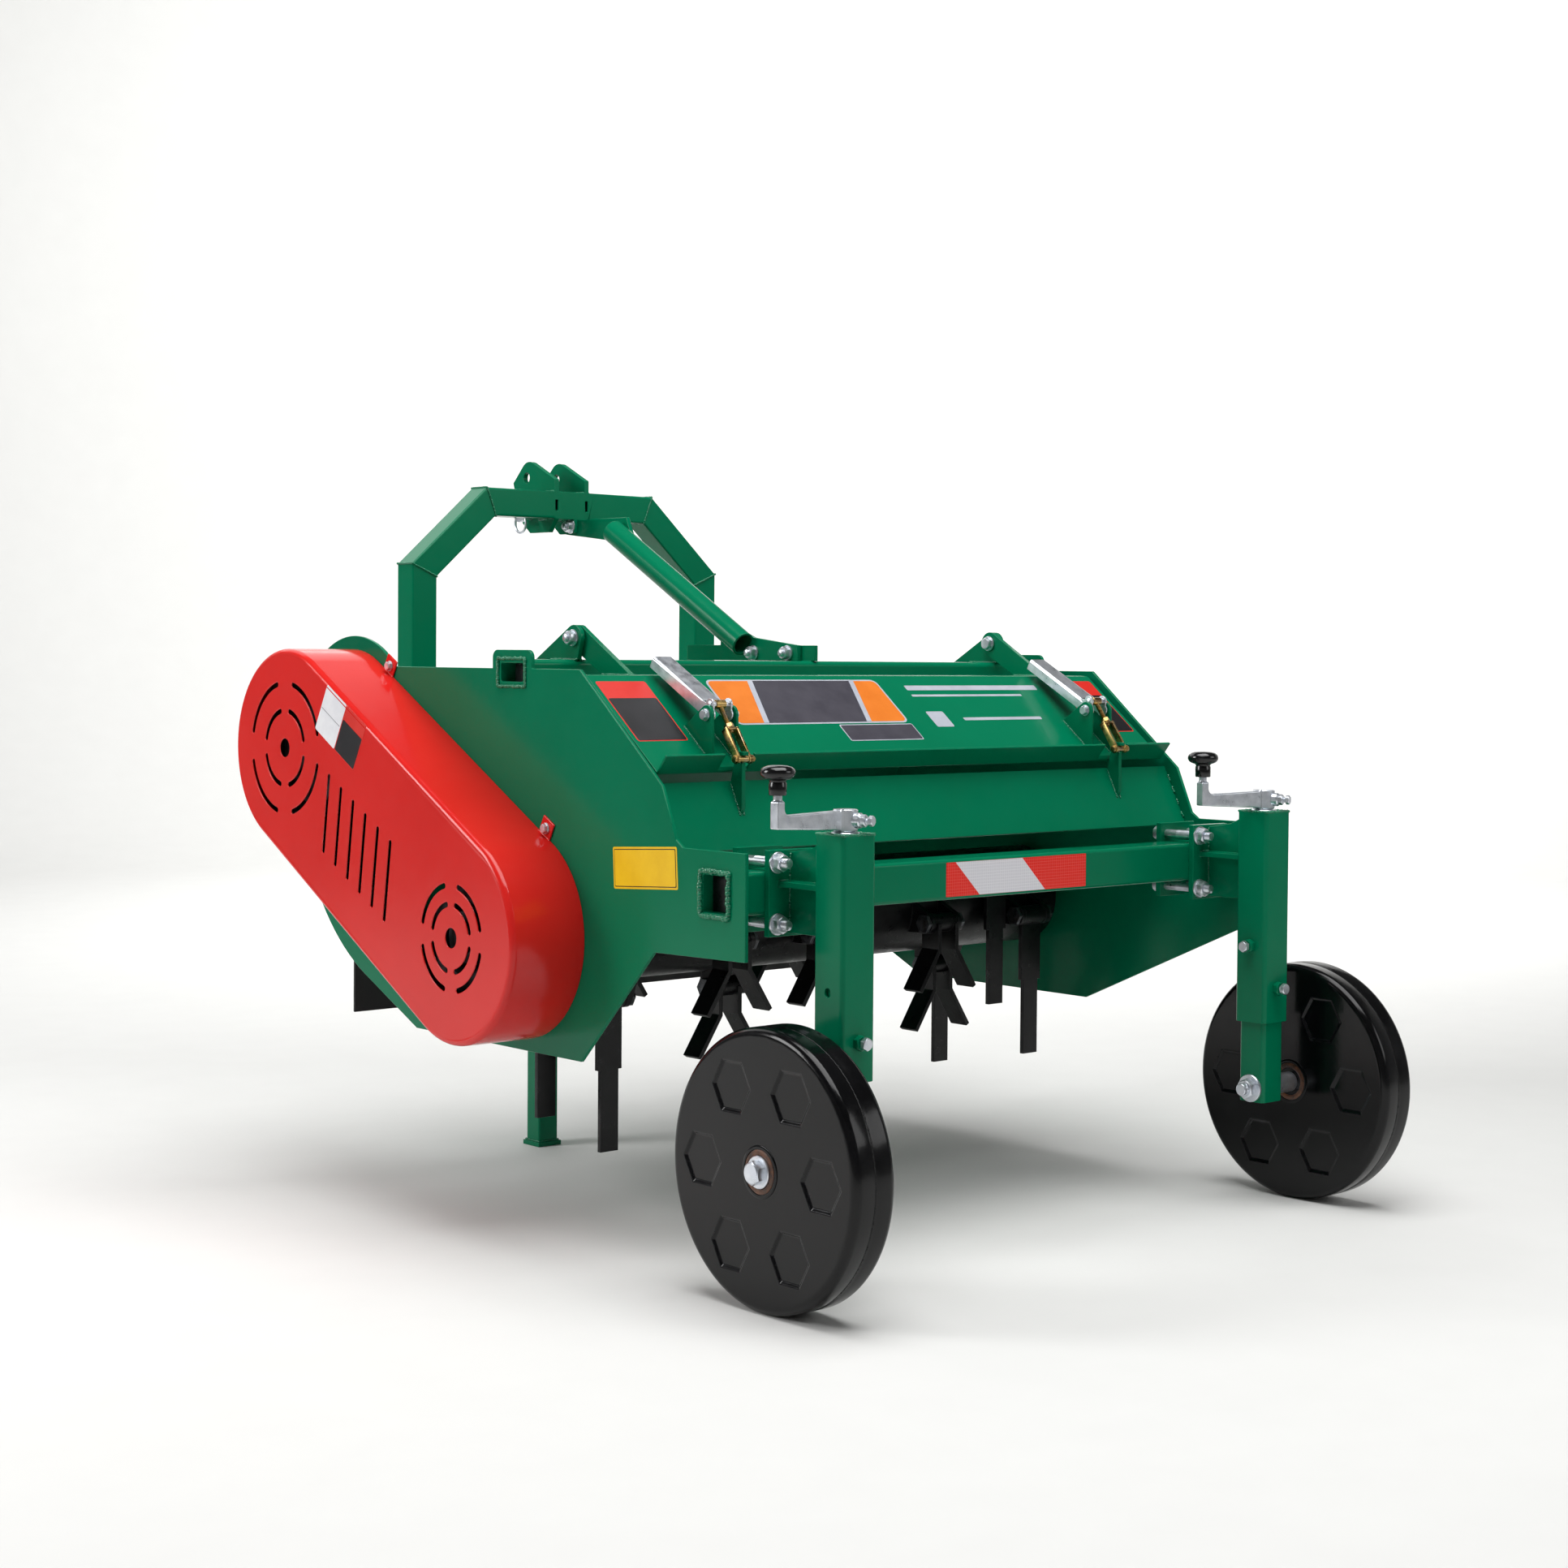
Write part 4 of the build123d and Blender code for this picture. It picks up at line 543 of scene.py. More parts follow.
# washer and head, or washer, nut and the threaded end that stands out of it by tail
def boltEnd(target, place, axis, size, tail=0.0):
    spot = aimed(place, axis)
    rim = fastener["washer"] * size
    wall = fastener["washerWall"] * size
    rimTop = fastener["washerRim"] * wall
    crown = rim - fastener["washerChamfer"] * wall
    turned(target, spot, [(0, 0), (rim, 0), (rim, rimTop), (crown, wall), (0, wall)])
    seat = raised(spot, wall)
    height = fastener["nut" if tail else "head"] * size
    hexagon(target, seat, fastener["across"] * size, height)
    if tail:
        threaded(target, seat, size / 2, height / 2, height + tail, fastener["pitch"] * size)


# head at start, nut at end
def throughBolt(target, start, end, size, tail):
    along = Vector(end) - Vector(start)
    boltEnd(target, start, -along, size)
    boltEnd(target, end, along, size, tail)
    shank(target, aimed(start, along), size / 2, along.length, fastener["shankSteps"])


# overlapping weld puddles along a line, each a small squashed ball, in shares of the bead's width
puddle = {"spacing": 0.36, "drift": 0.08, "radius": (0.42, 0.58), "squash": (0.75, 1),
          "spinAxis": (1, 0.6, 0.3), "seed": 11, "around": 8, "rings": 5}
chance = random.Random(puddle["seed"])
ball = bmesh.new()
bmesh.ops.create_uvsphere(ball, u_segments=puddle["around"], v_segments=puddle["rings"], radius=1.0)
ballMesh = bpy.data.meshes.new("ball")
ball.to_mesh(ballMesh)
ball.free()


def weldBead(target, points, width, closed=False):
    path = [at(*point) for point in points]
    if closed:
        path.append(path[0])
    for start, end in zip(path, path[1:]):
        count = max(1, round((end - start).length * 1000 / (puddle["spacing"] * width)))
        for step in range(count):
            drift = Vector([chance.uniform(-1, 1) for axis in range(3)]) * puddle["drift"] * width / 1000
            size = chance.uniform(*puddle["radius"]) * width / 1000
            spin = Matrix.Rotation(chance.uniform(0, math.pi), 4, Vector(puddle["spinAxis"]))
            thin, flat = (size * chance.uniform(*puddle["squash"]) for axis in range(2))
            middle = start.lerp(end, (step + 0.5) / count) + drift
            blob = ballMesh.copy()
            blob.transform(Matrix.Translation(middle) @ spin @ Matrix.Diagonal((size, thin, flat, 1)))
            target.from_mesh(blob)
            bpy.data.meshes.remove(blob)


def ringPoints(place, radius, axis, count=24):
    spot = aimed(place, axis)
    points = []
    for step in range(count):
        bend = 2 * math.pi * step / count
        edge = spot @ Vector((radius * math.cos(bend), radius * math.sin(bend), 0))
        points.append((edge - at(0, 0, 0)) * 1000)
    return points


# corners of a rectangle, in order round it
def squareLoop(low, high):
    return [low, (high[0], low[1]), high, (low[0], high[1])]


# clamp bolts hold each leg to the rear beam, with heads in front and their thread bare between the plates
clampBolt = {"spread": 27, "z": (500.5, 585.5), "plateWall": 10, "size": 14, "tail": 11,
             "threadRadius": 7.3, "threadLength": 46, "pitch": 2}
headY = cornersMm("front_clamp_plates")[1][1]
nutY = sleeveHigh[1] - clampBolt["plateWall"]
bm = bmesh.new()
for x in [side * legX + way * clampBolt["spread"] for side in bothWays for way in bothWays]:
    for z in clampBolt["z"]:
        throughBolt(bm, (x, headY, z), (x, nutY, z), clampBolt["size"], clampBolt["tail"])
        threaded(bm, aimed((x, nutY, z), (0, 1, 0)), clampBolt["threadRadius"], 0,
                 clampBolt["threadLength"], clampBolt["pitch"])
fitInstead(bm, "clamp_bolts", ".fitted", zincPlate, crease["steel"])

# frame bolts: through bolts as head and nut places, the rest as places of their heads
frameBolt = {
    "size": 12, "tail": 5, "guardSize": 8, "bearingSpread": 38, "standZ": 585,
    "brace": [((29, 665, 875), (13, 665, 875)), ((29, 754, 875), (13, 754, 875)),
              ((21, 1272, 1104), (5, 1272, 1104))],
    "guard": [(-553, 980.7, 848.5), (-553, 1144.3, 548.1), (-553, 545.8, 611.8), (-553, 709.3, 311.4)],
    "bearings": [(-562, *rotorAxis), (562, *rotorAxis), (-562, *driveAxis)]}
# set bolts press on the inner legs through nuts welded to the sleeves
setBolt = {"radius": 5, "length": 14, "pitch": 1.6, "headStart": 13, "headAcross": 16, "headHeight": 7,
           "nutAcross": 19, "nutHeight": 9, "rearZ": 350, "sideZ": 417}
setBoltSpots = [aimed((side * legX, -sleeveHalf, setBolt["rearZ"]), (0, -1, 0)) for side in bothWays]
setBoltSpots.append(aimed((legX - sleeveHalf, 0, setBolt["sideZ"]), (-1, 0, 0)))
bm = bmesh.new()
for head, nut in frameBolt["brace"]:
    throughBolt(bm, head, nut, frameBolt["size"], frameBolt["tail"])
for place in frameBolt["guard"]:
    boltEnd(bm, place, (-1, 0, 0), frameBolt["guardSize"])
bearingRow = (-frameBolt["bearingSpread"], frameBolt["bearingSpread"])
for x, y, z in frameBolt["bearings"]:
    for dy in bearingRow:
        for dz in bearingRow:
            boltEnd(bm, (x, y + dy, z + dz), (x, 0, 0), frameBolt["size"])
boltEnd(bm, (standX, cornersMm("front_beam")[1][1], frameBolt["standZ"]), (0, 1, 0), frameBolt["size"])
for spot in setBoltSpots:
    threaded(bm, spot, setBolt["radius"], 0, setBolt["length"], setBolt["pitch"])
    hexagon(bm, raised(spot, setBolt["headStart"]), setBolt["headAcross"], setBolt["headHeight"])
fitInstead(bm, "frame_bolts", ".fitted", zincPlate, crease["steel"])

bm = bmesh.new()
for spot in setBoltSpots:
    hexagon(bm, spot, setBolt["nutAcross"], setBolt["nutHeight"])
finishPiece("weld_nuts", bm, greenEnamel, "chassis", crease["steel"])

hingePin = {"headX": 437, "nutX": 455, "size": 12, "tail": 4}
hingeAxis = middleMm("hinge_pins")[1:]
bm = bmesh.new()
for side in bothWays:
    throughBolt(bm, (side * hingePin["headX"], *hingeAxis), (side * hingePin["nutX"], *hingeAxis),
                hingePin["size"], hingePin["tail"])
fitInstead(bm, "hinge_pins", ".fitted", zincPlate, crease["steel"])

# latch studs stand out of the cover's ears, with their heads outside
latchStud = {"reach": 25, "size": 8.5, "radius": 4.9, "length": 9.5}
latchPivot = middleMm("latch_pins")[1:]
bm = bmesh.new()
for side in bothWays:
    for ear in bothWays:
        place = (side * latchX + ear * latchStud["reach"], *latchPivot)
        boltEnd(bm, place, (ear, 0, 0), latchStud["size"])
        shank(bm, aimed(place, (-ear, 0, 0)), latchStud["radius"], latchStud["length"])
fitInstead(bm, "latch_pins", ".fitted", zincPlate, crease["steel"])

# axles: turned from the inner end outwards, with a hub seat, a nut at each end and a washer on the leg
axle = {"steps": 32, "outerAcross": 29, "innerAcross": 28, "nutHeight": 12,
        "washer": [(0, 0), (22, 0), (22, 3), (21, 4), (0, 4)],
        "shaft": [(0, -9), (8.5, -9), (9.6, -8), (9.6, 0), (10, 1), (10, 66), (16, 66), (16, 114.5),
                  (10, 114.5), (10, 187.5), (22, 187.5), (22, 190.5), (21, 191.5), (0, 191.5)]}
shaftX = cornersMm("right_axle")[0][0]
outerNutX = shaftX + axle["shaft"][-1][1]
washerX = cornersMm("right_inner_leg")[0][0]
innerNutX = washerX - axle["washer"][-1][1]
for name, side in sides.items():
    bm = bmesh.new()
    outward = (side, 0, 0)
    inward = (-side, 0, 0)
    turned(bm, aimed((side * shaftX, wheelY, wheelZ), outward), axle["shaft"], axle["steps"])
    hexagon(bm, aimed((side * outerNutX, wheelY, wheelZ), outward), axle["outerAcross"], axle["nutHeight"])
    hexagon(bm, aimed((side * innerNutX, wheelY, wheelZ), inward), axle["innerAcross"], axle["nutHeight"])
    turned(bm, aimed((side * washerX, wheelY, wheelZ), inward), axle["washer"], axle["steps"])
    fitInstead(bm, name + "_axle", ".turned", zincPlate, crease["steel"])
print("fasteners ready")

# wheels: two pressed dishes welded at the tread, with six pockets in each face
wheelPress = {"seamDip": 2.4, "seamHalf": 5, "treadNear": 2, "nearMm": 0.01,
              "pocketDepth": 3, "pocketRing": 122, "pocketShare": 0.89, "faceFrom": 60, "faceTo": 175,
              "edgeMm": 1.6, "edgeSegments": 3, "edgeDegrees": 14,
              "beadInset": 3, "beadPoints": 60, "beadWidth": 4.2, "lipSteps": 36,
              "hubLip": [(30.4, -1), (30.8, 1.2), (33.5, 1.6), (35.5, 0.8), (36, -1)],
              "grease": [(22.4, -1), (22.4, 1.2), (24, 2.2), (27.5, 1.9), (29.6, 1), (30.2, -1)]}
wheelHalf = cornersMm("right_wheel")[1][0] - wheelX
wheelRadius = cornersMm("right_wheel")[1][1] - wheelY


def onFace(reach):
    return wheelPress["faceFrom"] / 1000 < reach < wheelPress["faceTo"] / 1000


# draws the tread in at the seam, and tapers the pockets towards their floors
def pressWheel(bm, middle):
    near = wheelPress["nearMm"] / 1000
    floorX = (wheelHalf - wheelPress["pocketDepth"]) / 1000
    dip = 1 - wheelPress["seamDip"] / wheelRadius
    for offset in (-wheelPress["seamHalf"], 0, wheelPress["seamHalf"]):
        bmesh.ops.bisect_plane(bm, geom=bm.verts[:] + bm.edges[:] + bm.faces[:],
                               plane_co=middle + Vector((offset / 1000, 0, 0)), plane_no=(1, 0, 0))
    for vert in bm.verts:
        arm = vert.co - middle
        reach = math.hypot(arm.y, arm.z)
        if abs(arm.x) < near and reach > (wheelRadius - wheelPress["treadNear"]) / 1000:
            vert.co.yz = (middle.y + arm.y * dip, middle.z + arm.z * dip)
        elif abs(abs(arm.x) - floorX) < near and onFace(reach):
            sector = round(math.atan2(arm.z, arm.y) / (math.pi / 3)) * math.pi / 3
            heart = middle + Vector((0, math.cos(sector), math.sin(sector))) * wheelPress["pocketRing"] / 1000
            vert.co.yz = heart.yz + (vert.co - heart).yz * wheelPress["pocketShare"]


for name, side in sides.items():
    node = name + "_wheel"
    bm = copySolid(node)
    low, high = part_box(node)
    middle = (low + high) / 2
    pressWheel(bm, middle)
    pocketEdges = [e for e in bm.edges if all(onFace((v.co - middle).yz.length) for v in e.verts)]
    breakEdges(bm, wheelPress["edgeMm"], wheelPress["edgeSegments"], wheelPress["edgeDegrees"], pocketEdges)
    showInstead(bm, node, wheelEnamel, "wheel_paint")

    hubs = [aimed((side * wheelX + way * wheelHalf, wheelY, wheelZ), (way, 0, 0)) for way in bothWays]
    tread = ringPoints((side * wheelX, wheelY, wheelZ), wheelRadius - wheelPress["beadInset"], (1, 0, 0),
                       wheelPress["beadPoints"])
    bm = bmesh.new()
    weldBead(bm, tread, wheelPress["beadWidth"], True)
    for spot in hubs:
        turned(bm, spot, wheelPress["hubLip"], wheelPress["lipSteps"])
    finishPiece(node + ".seam", bm, wheelEnamel, bodyOf(node), crease["soft"])
    bm = bmesh.new()
    for spot in hubs:
        turned(bm, spot, wheelPress["grease"], wheelPress["lipSteps"])
    finishPiece(node + ".grease", bm, wornGrease, bodyOf(node), crease["soft"])
print("wheels ready")

# cranks: forged arms with a locked set screw in the hub, and lathe-turned knobs
crank = {"edgeMm": 2.2, "edgeSegments": 3, "hubZ": 649, "screwAxis": (0.35, -0.94, 0),
         "boss": [(0, 10), (10.5, 10), (10.5, 23), (9, 25), (0, 25)],
         "lockNut": {"start": 25, "across": 15, "height": 7},
         "screw": {"radius": 4.5, "start": 30, "end": 39, "pitch": 1.4},
         "screwHead": {"start": 37, "across": 13, "height": 6},
         "washerZ": 630.1, "washer": [(0, 0), (20, 0), (20, 1.6), (19, 2.6), (0, 2.6)], "washerSteps": 32}
knob = {"left": (-574.5, -11.3), "right": (316.3, 18.1), "steps": 40,
        "profile": [(0, 687), (11.2, 687), (12, 688), (12, 703), (11.2, 704), (11.2, 705.5), (13.5, 707.5),
                    (18.5, 709), (22, 711.5), (23.8, 715), (23.8, 718), (22.4, 721.5), (19, 724.4),
                    (13, 726.2), (6, 726.9), (0, 727)]}
for name, side in sides.items():
    node = name + "_crank"
    bm = copySolid(node)
    breakEdges(bm, crank["edgeMm"], crank["edgeSegments"])
    showInstead(bm, node, zincPlate, "zinc_steel")

    bm = bmesh.new()
    spot = aimed((side * legX, 0, crank["hubZ"]), crank["screwAxis"])
    turned(bm, spot, crank["boss"])
    lockNut = crank["lockNut"]
    hexagon(bm, raised(spot, lockNut["start"]), lockNut["across"], lockNut["height"])
    threaded(bm, spot, **crank["screw"])
    screwHead = crank["screwHead"]
    hexagon(bm, raised(spot, screwHead["start"]), screwHead["across"], screwHead["height"])
    turned(bm, aimed((side * legX, 0, crank["washerZ"]), (0, 0, 1)), crank["washer"], crank["washerSteps"])
    finishPiece(node + ".setscrew", bm, zincPlate, bodyOf(node), crease["steel"])

    bm = bmesh.new()
    turned(bm, aimed((*knob[name], 0), (0, 0, 1)), knob["profile"], knob["steps"])
    fitInstead(bm, node + "_knob", ".turned", knobPhenolic, crease["knob"])
print("cranks ready")

# over-centre latches: a folded channel handle, a threaded rod and a sheet fork
latch = {"foldMm": 4.5, "foldLongMm": 100, "foldBroadMm2": 1500, "edgeMm": 0.5, "boss": 6.5, "rivetX": 18,
         "rivet": [(0, 0), (5.2, 0), (5, 0.9), (3.6, 1.6), (0, 1.8)],
         "trunnionHalf": 9, "trunnion": [(0, 0), (6, 0), (6.6, 0.6), (6.6, 17.4), (6, 18), (0, 18)],
         "rod": {"radius": 4, "start": 2, "end": 51, "pitch": 1.4},
         "nutStart": 36, "nutAcross": 13, "nutHeight": 6.5,
         "forkStart": 43, "bridge": (24, 12, 4), "bridgeEdge": 1.2, "armX": 10, "armWall": 4, "armWidth": 12,
         "armEdge": 0.6, "eye": [(0, 0), (5.6, 0), (6.2, 0.6), (6.2, 3.4), (5.6, 4), (0, 4)],
         "pinHalf": 12, "pinRadius": 4.9, "pinSize": 6.5, "pinTail": 2.5}
linkLow, linkHigh = cornersMm("right_latch_link")
linkHead = [reach - latch["boss"] for reach in linkHigh[1:]]   # axes of the link's two ends
linkHook = [reach + latch["boss"] for reach in linkLow[1:]]
for name, side in sides.items():
    x = side * latchX
    node = name + "_latch_handle"
    bm = copySolid(node)
    roundFolds(bm, latch["foldMm"], latch["foldLongMm"], latch["foldBroadMm2"])
    breakEdges(bm, latch["edgeMm"])
    showInstead(bm, node, zincPlate, "zinc_steel")
    bm = bmesh.new()
    for ear in bothWays:
        turned(bm, aimed((x + ear * latch["rivetX"], *linkHead), (ear, 0, 0)), latch["rivet"])
    finishPiece(node + ".rivets", bm, zincPlate, bodyOf(node), crease["soft"])

    bm = bmesh.new()
    run = Vector(linkHook) - Vector(linkHead)
    spot = aimed((x, *linkHead), (0, *run))
    turned(bm, aimed((x - latch["trunnionHalf"], *linkHead), (1, 0, 0)), latch["trunnion"])
    threaded(bm, spot, **latch["rod"])
    hexagon(bm, raised(spot, latch["nutStart"]), latch["nutAcross"], latch["nutHeight"])
    bar(bm, spot, latch["bridge"], (0, 0, latch["forkStart"] + latch["bridge"][2] / 2), latch["bridgeEdge"])
    armLength = run.length - latch["forkStart"]
    armMiddle = latch["forkStart"] + armLength / 2
    for ear in bothWays:
        bar(bm, spot, (latch["armWall"], latch["armWidth"], armLength), (ear * latch["armX"], 0, armMiddle),
            latch["armEdge"])
        eyeX = x + ear * (latch["armX"] - latch["armWall"] / 2)
        turned(bm, aimed((eyeX, *linkHook), (ear, 0, 0)), latch["eye"])
    pinStart = (x - latch["pinHalf"], *linkHook)
    pinEnd = (x + latch["pinHalf"], *linkHook)
    shank(bm, aimed(pinStart, (1, 0, 0)), latch["pinRadius"], 2 * latch["pinHalf"])
    boltEnd(bm, pinStart, (-1, 0, 0), latch["pinSize"])
    boltEnd(bm, pinEnd, (1, 0, 0), latch["pinSize"], latch["pinTail"])
    fitInstead(bm, name + "_latch_link", ".rod", yellowZinc, crease["steel"])
print("latches ready")

# painted weld beads; each seam has its bead width, and its run along Y or Z as start and end
# first the ends of the rear beam and the cross tube in the side plates, as (z, y) corners
plateSeam = {"proud": 0.5, "grow": 1, "beamWidth": 10, "tubeWidth": 6.5, "tubeLow": (821, 605),
             "tubeHigh": (863, 677)}
beamEnd = squareLoop((beamLow[2] - plateSeam["grow"], beamLow[1] - plateSeam["grow"]),
                     (beamHigh[2] + plateSeam["grow"], beamHigh[1] + plateSeam["grow"]))
tubeEnd = squareLoop(plateSeam["tubeLow"], plateSeam["tubeHigh"])
bm = bmesh.new()
for side in bothWays:
    x = side * (plateX + plateSeam["proud"])
    weldBead(bm, [(x, y, z) for z, y in beamEnd], plateSeam["beamWidth"], True)
    weldBead(bm, [(x, y, z) for z, y in tubeEnd], plateSeam["tubeWidth"], True)

# sleeve caps, and the web and rib between each sleeve and its clamp plate
sleeveSeam = {"capWidth": 5, "capHalf": 28, "webWidth": 5, "webX": 4, "sleeveRun": (489, 620),
              "plateRun": (489, 597), "ribWidth": 4.5, "ribHalf": 25, "ribZ": (552, 560)}
for x in (-legX, legX):
    half = sleeveSeam["capHalf"]
    cap = squareLoop((x - half, -half), (x + half, half))
    weldBead(bm, [(*corner, sleeveHigh[2]) for corner in cap], sleeveSeam["capWidth"], True)
    for webX in (x - sleeveSeam["webX"], x + sleeveSeam["webX"]):
        weldBead(bm, [(webX, sleeveHalf, z) for z in sleeveSeam["sleeveRun"]], sleeveSeam["webWidth"])
        weldBead(bm, [(webX, nutY, z) for z in sleeveSeam["plateRun"]], sleeveSeam["webWidth"])
    for y in (sleeveHalf, nutY):
        for z in sleeveSeam["ribZ"]:
            rib = [(x - sleeveSeam["ribHalf"], y, z), (x + sleeveSeam["ribHalf"], y, z)]
            weldBead(bm, rib, sleeveSeam["ribWidth"])

# mitres of the headstock as outer and inner (x, z), then top link ears, pins and cheeks
crownSeam = {"width": 4.2, "run": (1262, 1312),
             "mitres": [((336, 1026), (286, 1004)), ((183, 1166), (163.6, 1116))]}
earSeam = {"x": 33, "half": 5, "topZ": 1166, "topRun": (1264, 1311), "topWidth": 5.5,
           "lowZ": 1116, "lowRun": (1284, 1311), "lowWidth": 5}
pinSeam = {"radius": 20.5, "width": 5}
pinX = cornersMm("headstock_frame")[1][0]
pinAxis = middleMm("lower_link_pins")[1:]
cheekSeam = {"x": 286, "y": 1136, "run": (547, 698), "width": 5}
# hinge plates and latch hooks, the stitched rear panel with its slope, and the stand's socket
hingeSeam = {"x": 451, "half": 4, "z": 862, "run": (607, 675), "width": 5}
hookSeam = {"half": 3.5, "run": [(272.6, 640), (295, 684)], "width": 4.5}
stitchSeam = {"x": 543.5, "lowY": 248, "lowZ": 592, "slope": 49 / 96,
              "starts": range(604, 684, 20), "length": 9, "width": 6}
socketSeam = {"half": 25, "y": 1135, "run": (547, 623), "width": 5}
for side in bothWays:
    for (outerX, outerZ), (innerX, innerZ) in crownSeam["mitres"]:
        rear, front = crownSeam["run"]
        loop = [(side * outerX, rear, outerZ), (side * innerX, rear, innerZ),
                (side * innerX, front, innerZ), (side * outerX, front, outerZ)]
        weldBead(bm, loop, crownSeam["width"], True)
    for way in bothWays:
        x = side * earSeam["x"] + way * earSeam["half"]
        weldBead(bm, [(x, y, earSeam["topZ"]) for y in earSeam["topRun"]], earSeam["topWidth"])
        weldBead(bm, [(x, y, earSeam["lowZ"]) for y in earSeam["lowRun"]], earSeam["lowWidth"])
    for way in bothWays:
        x = side * hingeSeam["x"] + way * hingeSeam["half"]
        weldBead(bm, [(x, y, hingeSeam["z"]) for y in hingeSeam["run"]], hingeSeam["width"])
    for way in bothWays:
        x = side * latchX + way * hookSeam["half"]
        weldBead(bm, [(x, y, z) for y, z in hookSeam["run"]], hookSeam["width"])
    for start in stitchSeam["starts"]:
        stitch = []
        for z in (start, start + stitchSeam["length"]):
            y = stitchSeam["lowY"] + (z - stitchSeam["lowZ"]) * stitchSeam["slope"]
            stitch.append((side * stitchSeam["x"], y, z))
        weldBead(bm, stitch, stitchSeam["width"])
    pinRing = ringPoints((side * pinX, *pinAxis), pinSeam["radius"], (1, 0, 0))
    weldBead(bm, pinRing, pinSeam["width"], True)
    weldBead(bm, [(side * cheekSeam["x"], cheekSeam["y"], z) for z in cheekSeam["run"]], cheekSeam["width"])
    socketX = standX + side * socketSeam["half"]
    weldBead(bm, [(socketX, socketSeam["y"], z) for z in socketSeam["run"]], socketSeam["width"])
finishPiece("frame_welds", bm, greenBead, "chassis")

# hinge arms and latch ears on the cover; the ears' seams run up its slope from its foot
coverSeam = {"width": 4, "armX": (438, 446), "armZ": 840, "armRun": (486, 555), "earX": (-25, -20, 20, 25),
             "earRun": (17, 98), "foot": (0, 300, 704.5)}
slope = [Vector(coverSeam["foot"]) + Vector(coverRise).normalized() * along for along in coverSeam["earRun"]]
bm = bmesh.new()
for side in bothWays:
    for x in coverSeam["armX"]:
        weldBead(bm, [(side * x, y, coverSeam["armZ"]) for y in coverSeam["armRun"]], coverSeam["width"])
    for dx in coverSeam["earX"]:
        weldBead(bm, [(side * latchX + dx, point.y, point.z) for point in slope], coverSeam["width"])
finishPiece("cover_welds", bm, greenBead, "rear_cover")

standSeam = {"half": 20, "z": 9, "width": 4}
standFoot = squareLoop((standX - standSeam["half"], standY - standSeam["half"]),
                       (standX + standSeam["half"], standY + standSeam["half"]))
bm = bmesh.new()
weldBead(bm, [(*corner, standSeam["z"]) for corner in standFoot], standSeam["width"], True)
finishPiece("stand_welds", bm, greenBead, "parking_stand")
print("welds laid")

# dark plates a little way into the open tube ends: painted shade, standing for the unlit inside of the tubes
shadePlate = {"depth": 18, "edge": 0.5, "beam": (51, 51, 2), "tube": (31, 61, 2), "tubeAxis": (641, 842)}
beamAxis = middleMm("rear_beam")[1:]
bm = bmesh.new()
for side in bothWays:
    x = side * (plateX - shadePlate["depth"])
    for axis, size in ((beamAxis, shadePlate["beam"]), (shadePlate["tubeAxis"], shadePlate["tube"])):
        bar(bm, aimed((x, *axis), (1, 0, 0)), size, (0, 0, 0), shadePlate["edge"])
finishPiece("tube_end_shade_plates", bm, blackEnamel, "chassis", crease["steel"])

# gearbox lid and ribs, then their bolts and breather with the skirt's bolts
gearFit = {"lid": (130, 140, 5), "lidEdge": 1.2,
           "rib": (7, 14, 34), "ribX": (-62, 0, 62), "ribZ": 65, "ribEdge": 2,
           "bolt": 8, "lidBoltX": 55, "lidBoltY": 60, "rim": 70, "rimX": 31, "rimZ": 25,
           "flangeX": -88, "flange": 49.5, "flangeBolts": 8, "flangeSize": 6, "breatherPlace": (22, 18),
           "breather": [(0, 0), (11, 0), (11, 5), (9, 6.5), (6, 6.5), (6, 13), (9, 14), (9, 19),
                        (7, 21), (0, 21)]}
skirtBolt = {"x": range(-480, 481, 120), "size": 8}
boxY, boxZ = driveAxis
lidZ = cornersMm("gearbox_housing")[1][2]
frontY = boxY + lidZ - boxZ   # the housing is as deep as it is high
stripY = cornersMm("skirt_strip")[1][1]
stripZ = middleMm("skirt_strip")[2]
bm = bmesh.new()
bar(bm, aimed((0, boxY, lidZ), (0, 0, 1)), gearFit["lid"], (0, 0, gearFit["lid"][2] / 2), gearFit["lidEdge"])
for x in gearFit["ribX"]:
    for z in (boxZ - gearFit["ribZ"], boxZ + gearFit["ribZ"]):
        bar(bm, aimed((x, frontY, z), (0, 0, 1)), gearFit["rib"], (0, 0, 0), gearFit["ribEdge"])
finishPiece("gearbox_lid", bm, greenEnamel, "chassis", crease["steel"])

lidTop = lidZ + gearFit["lid"][2]
lidBolts = [(x, y) for x in (-gearFit["lidBoltX"], 0, gearFit["lidBoltX"])
            for y in (-gearFit["lidBoltY"], gearFit["lidBoltY"])]
lidBolts += [(-gearFit["lidBoltX"], 0), (gearFit["lidBoltX"], 0)]
rimRow = (-gearFit["rim"], gearFit["rim"])
frontBolts = [(x, z) for x in (-gearFit["rimX"], gearFit["rimX"]) for z in rimRow]
frontBolts += [(x, z) for z in (-gearFit["rimZ"], gearFit["rimZ"]) for x in rimRow]
breatherX, breatherY = gearFit["breatherPlace"]
bm = bmesh.new()
for x, y in lidBolts:
    boltEnd(bm, (x, boxY + y, lidTop), (0, 0, 1), gearFit["bolt"])
turned(bm, aimed((breatherX, boxY + breatherY, lidTop), (0, 0, 1)), gearFit["breather"])
for x, z in frontBolts:
    boltEnd(bm, (x, frontY, boxZ + z), (0, 1, 0), gearFit["bolt"])
for step in range(gearFit["flangeBolts"]):
    bend = 2 * math.pi / gearFit["flangeBolts"] * (step + 0.5)
    y = boxY + gearFit["flange"] * math.cos(bend)
    z = boxZ + gearFit["flange"] * math.sin(bend)
    boltEnd(bm, (gearFit["flangeX"], y, z), (-1, 0, 0), gearFit["flangeSize"])
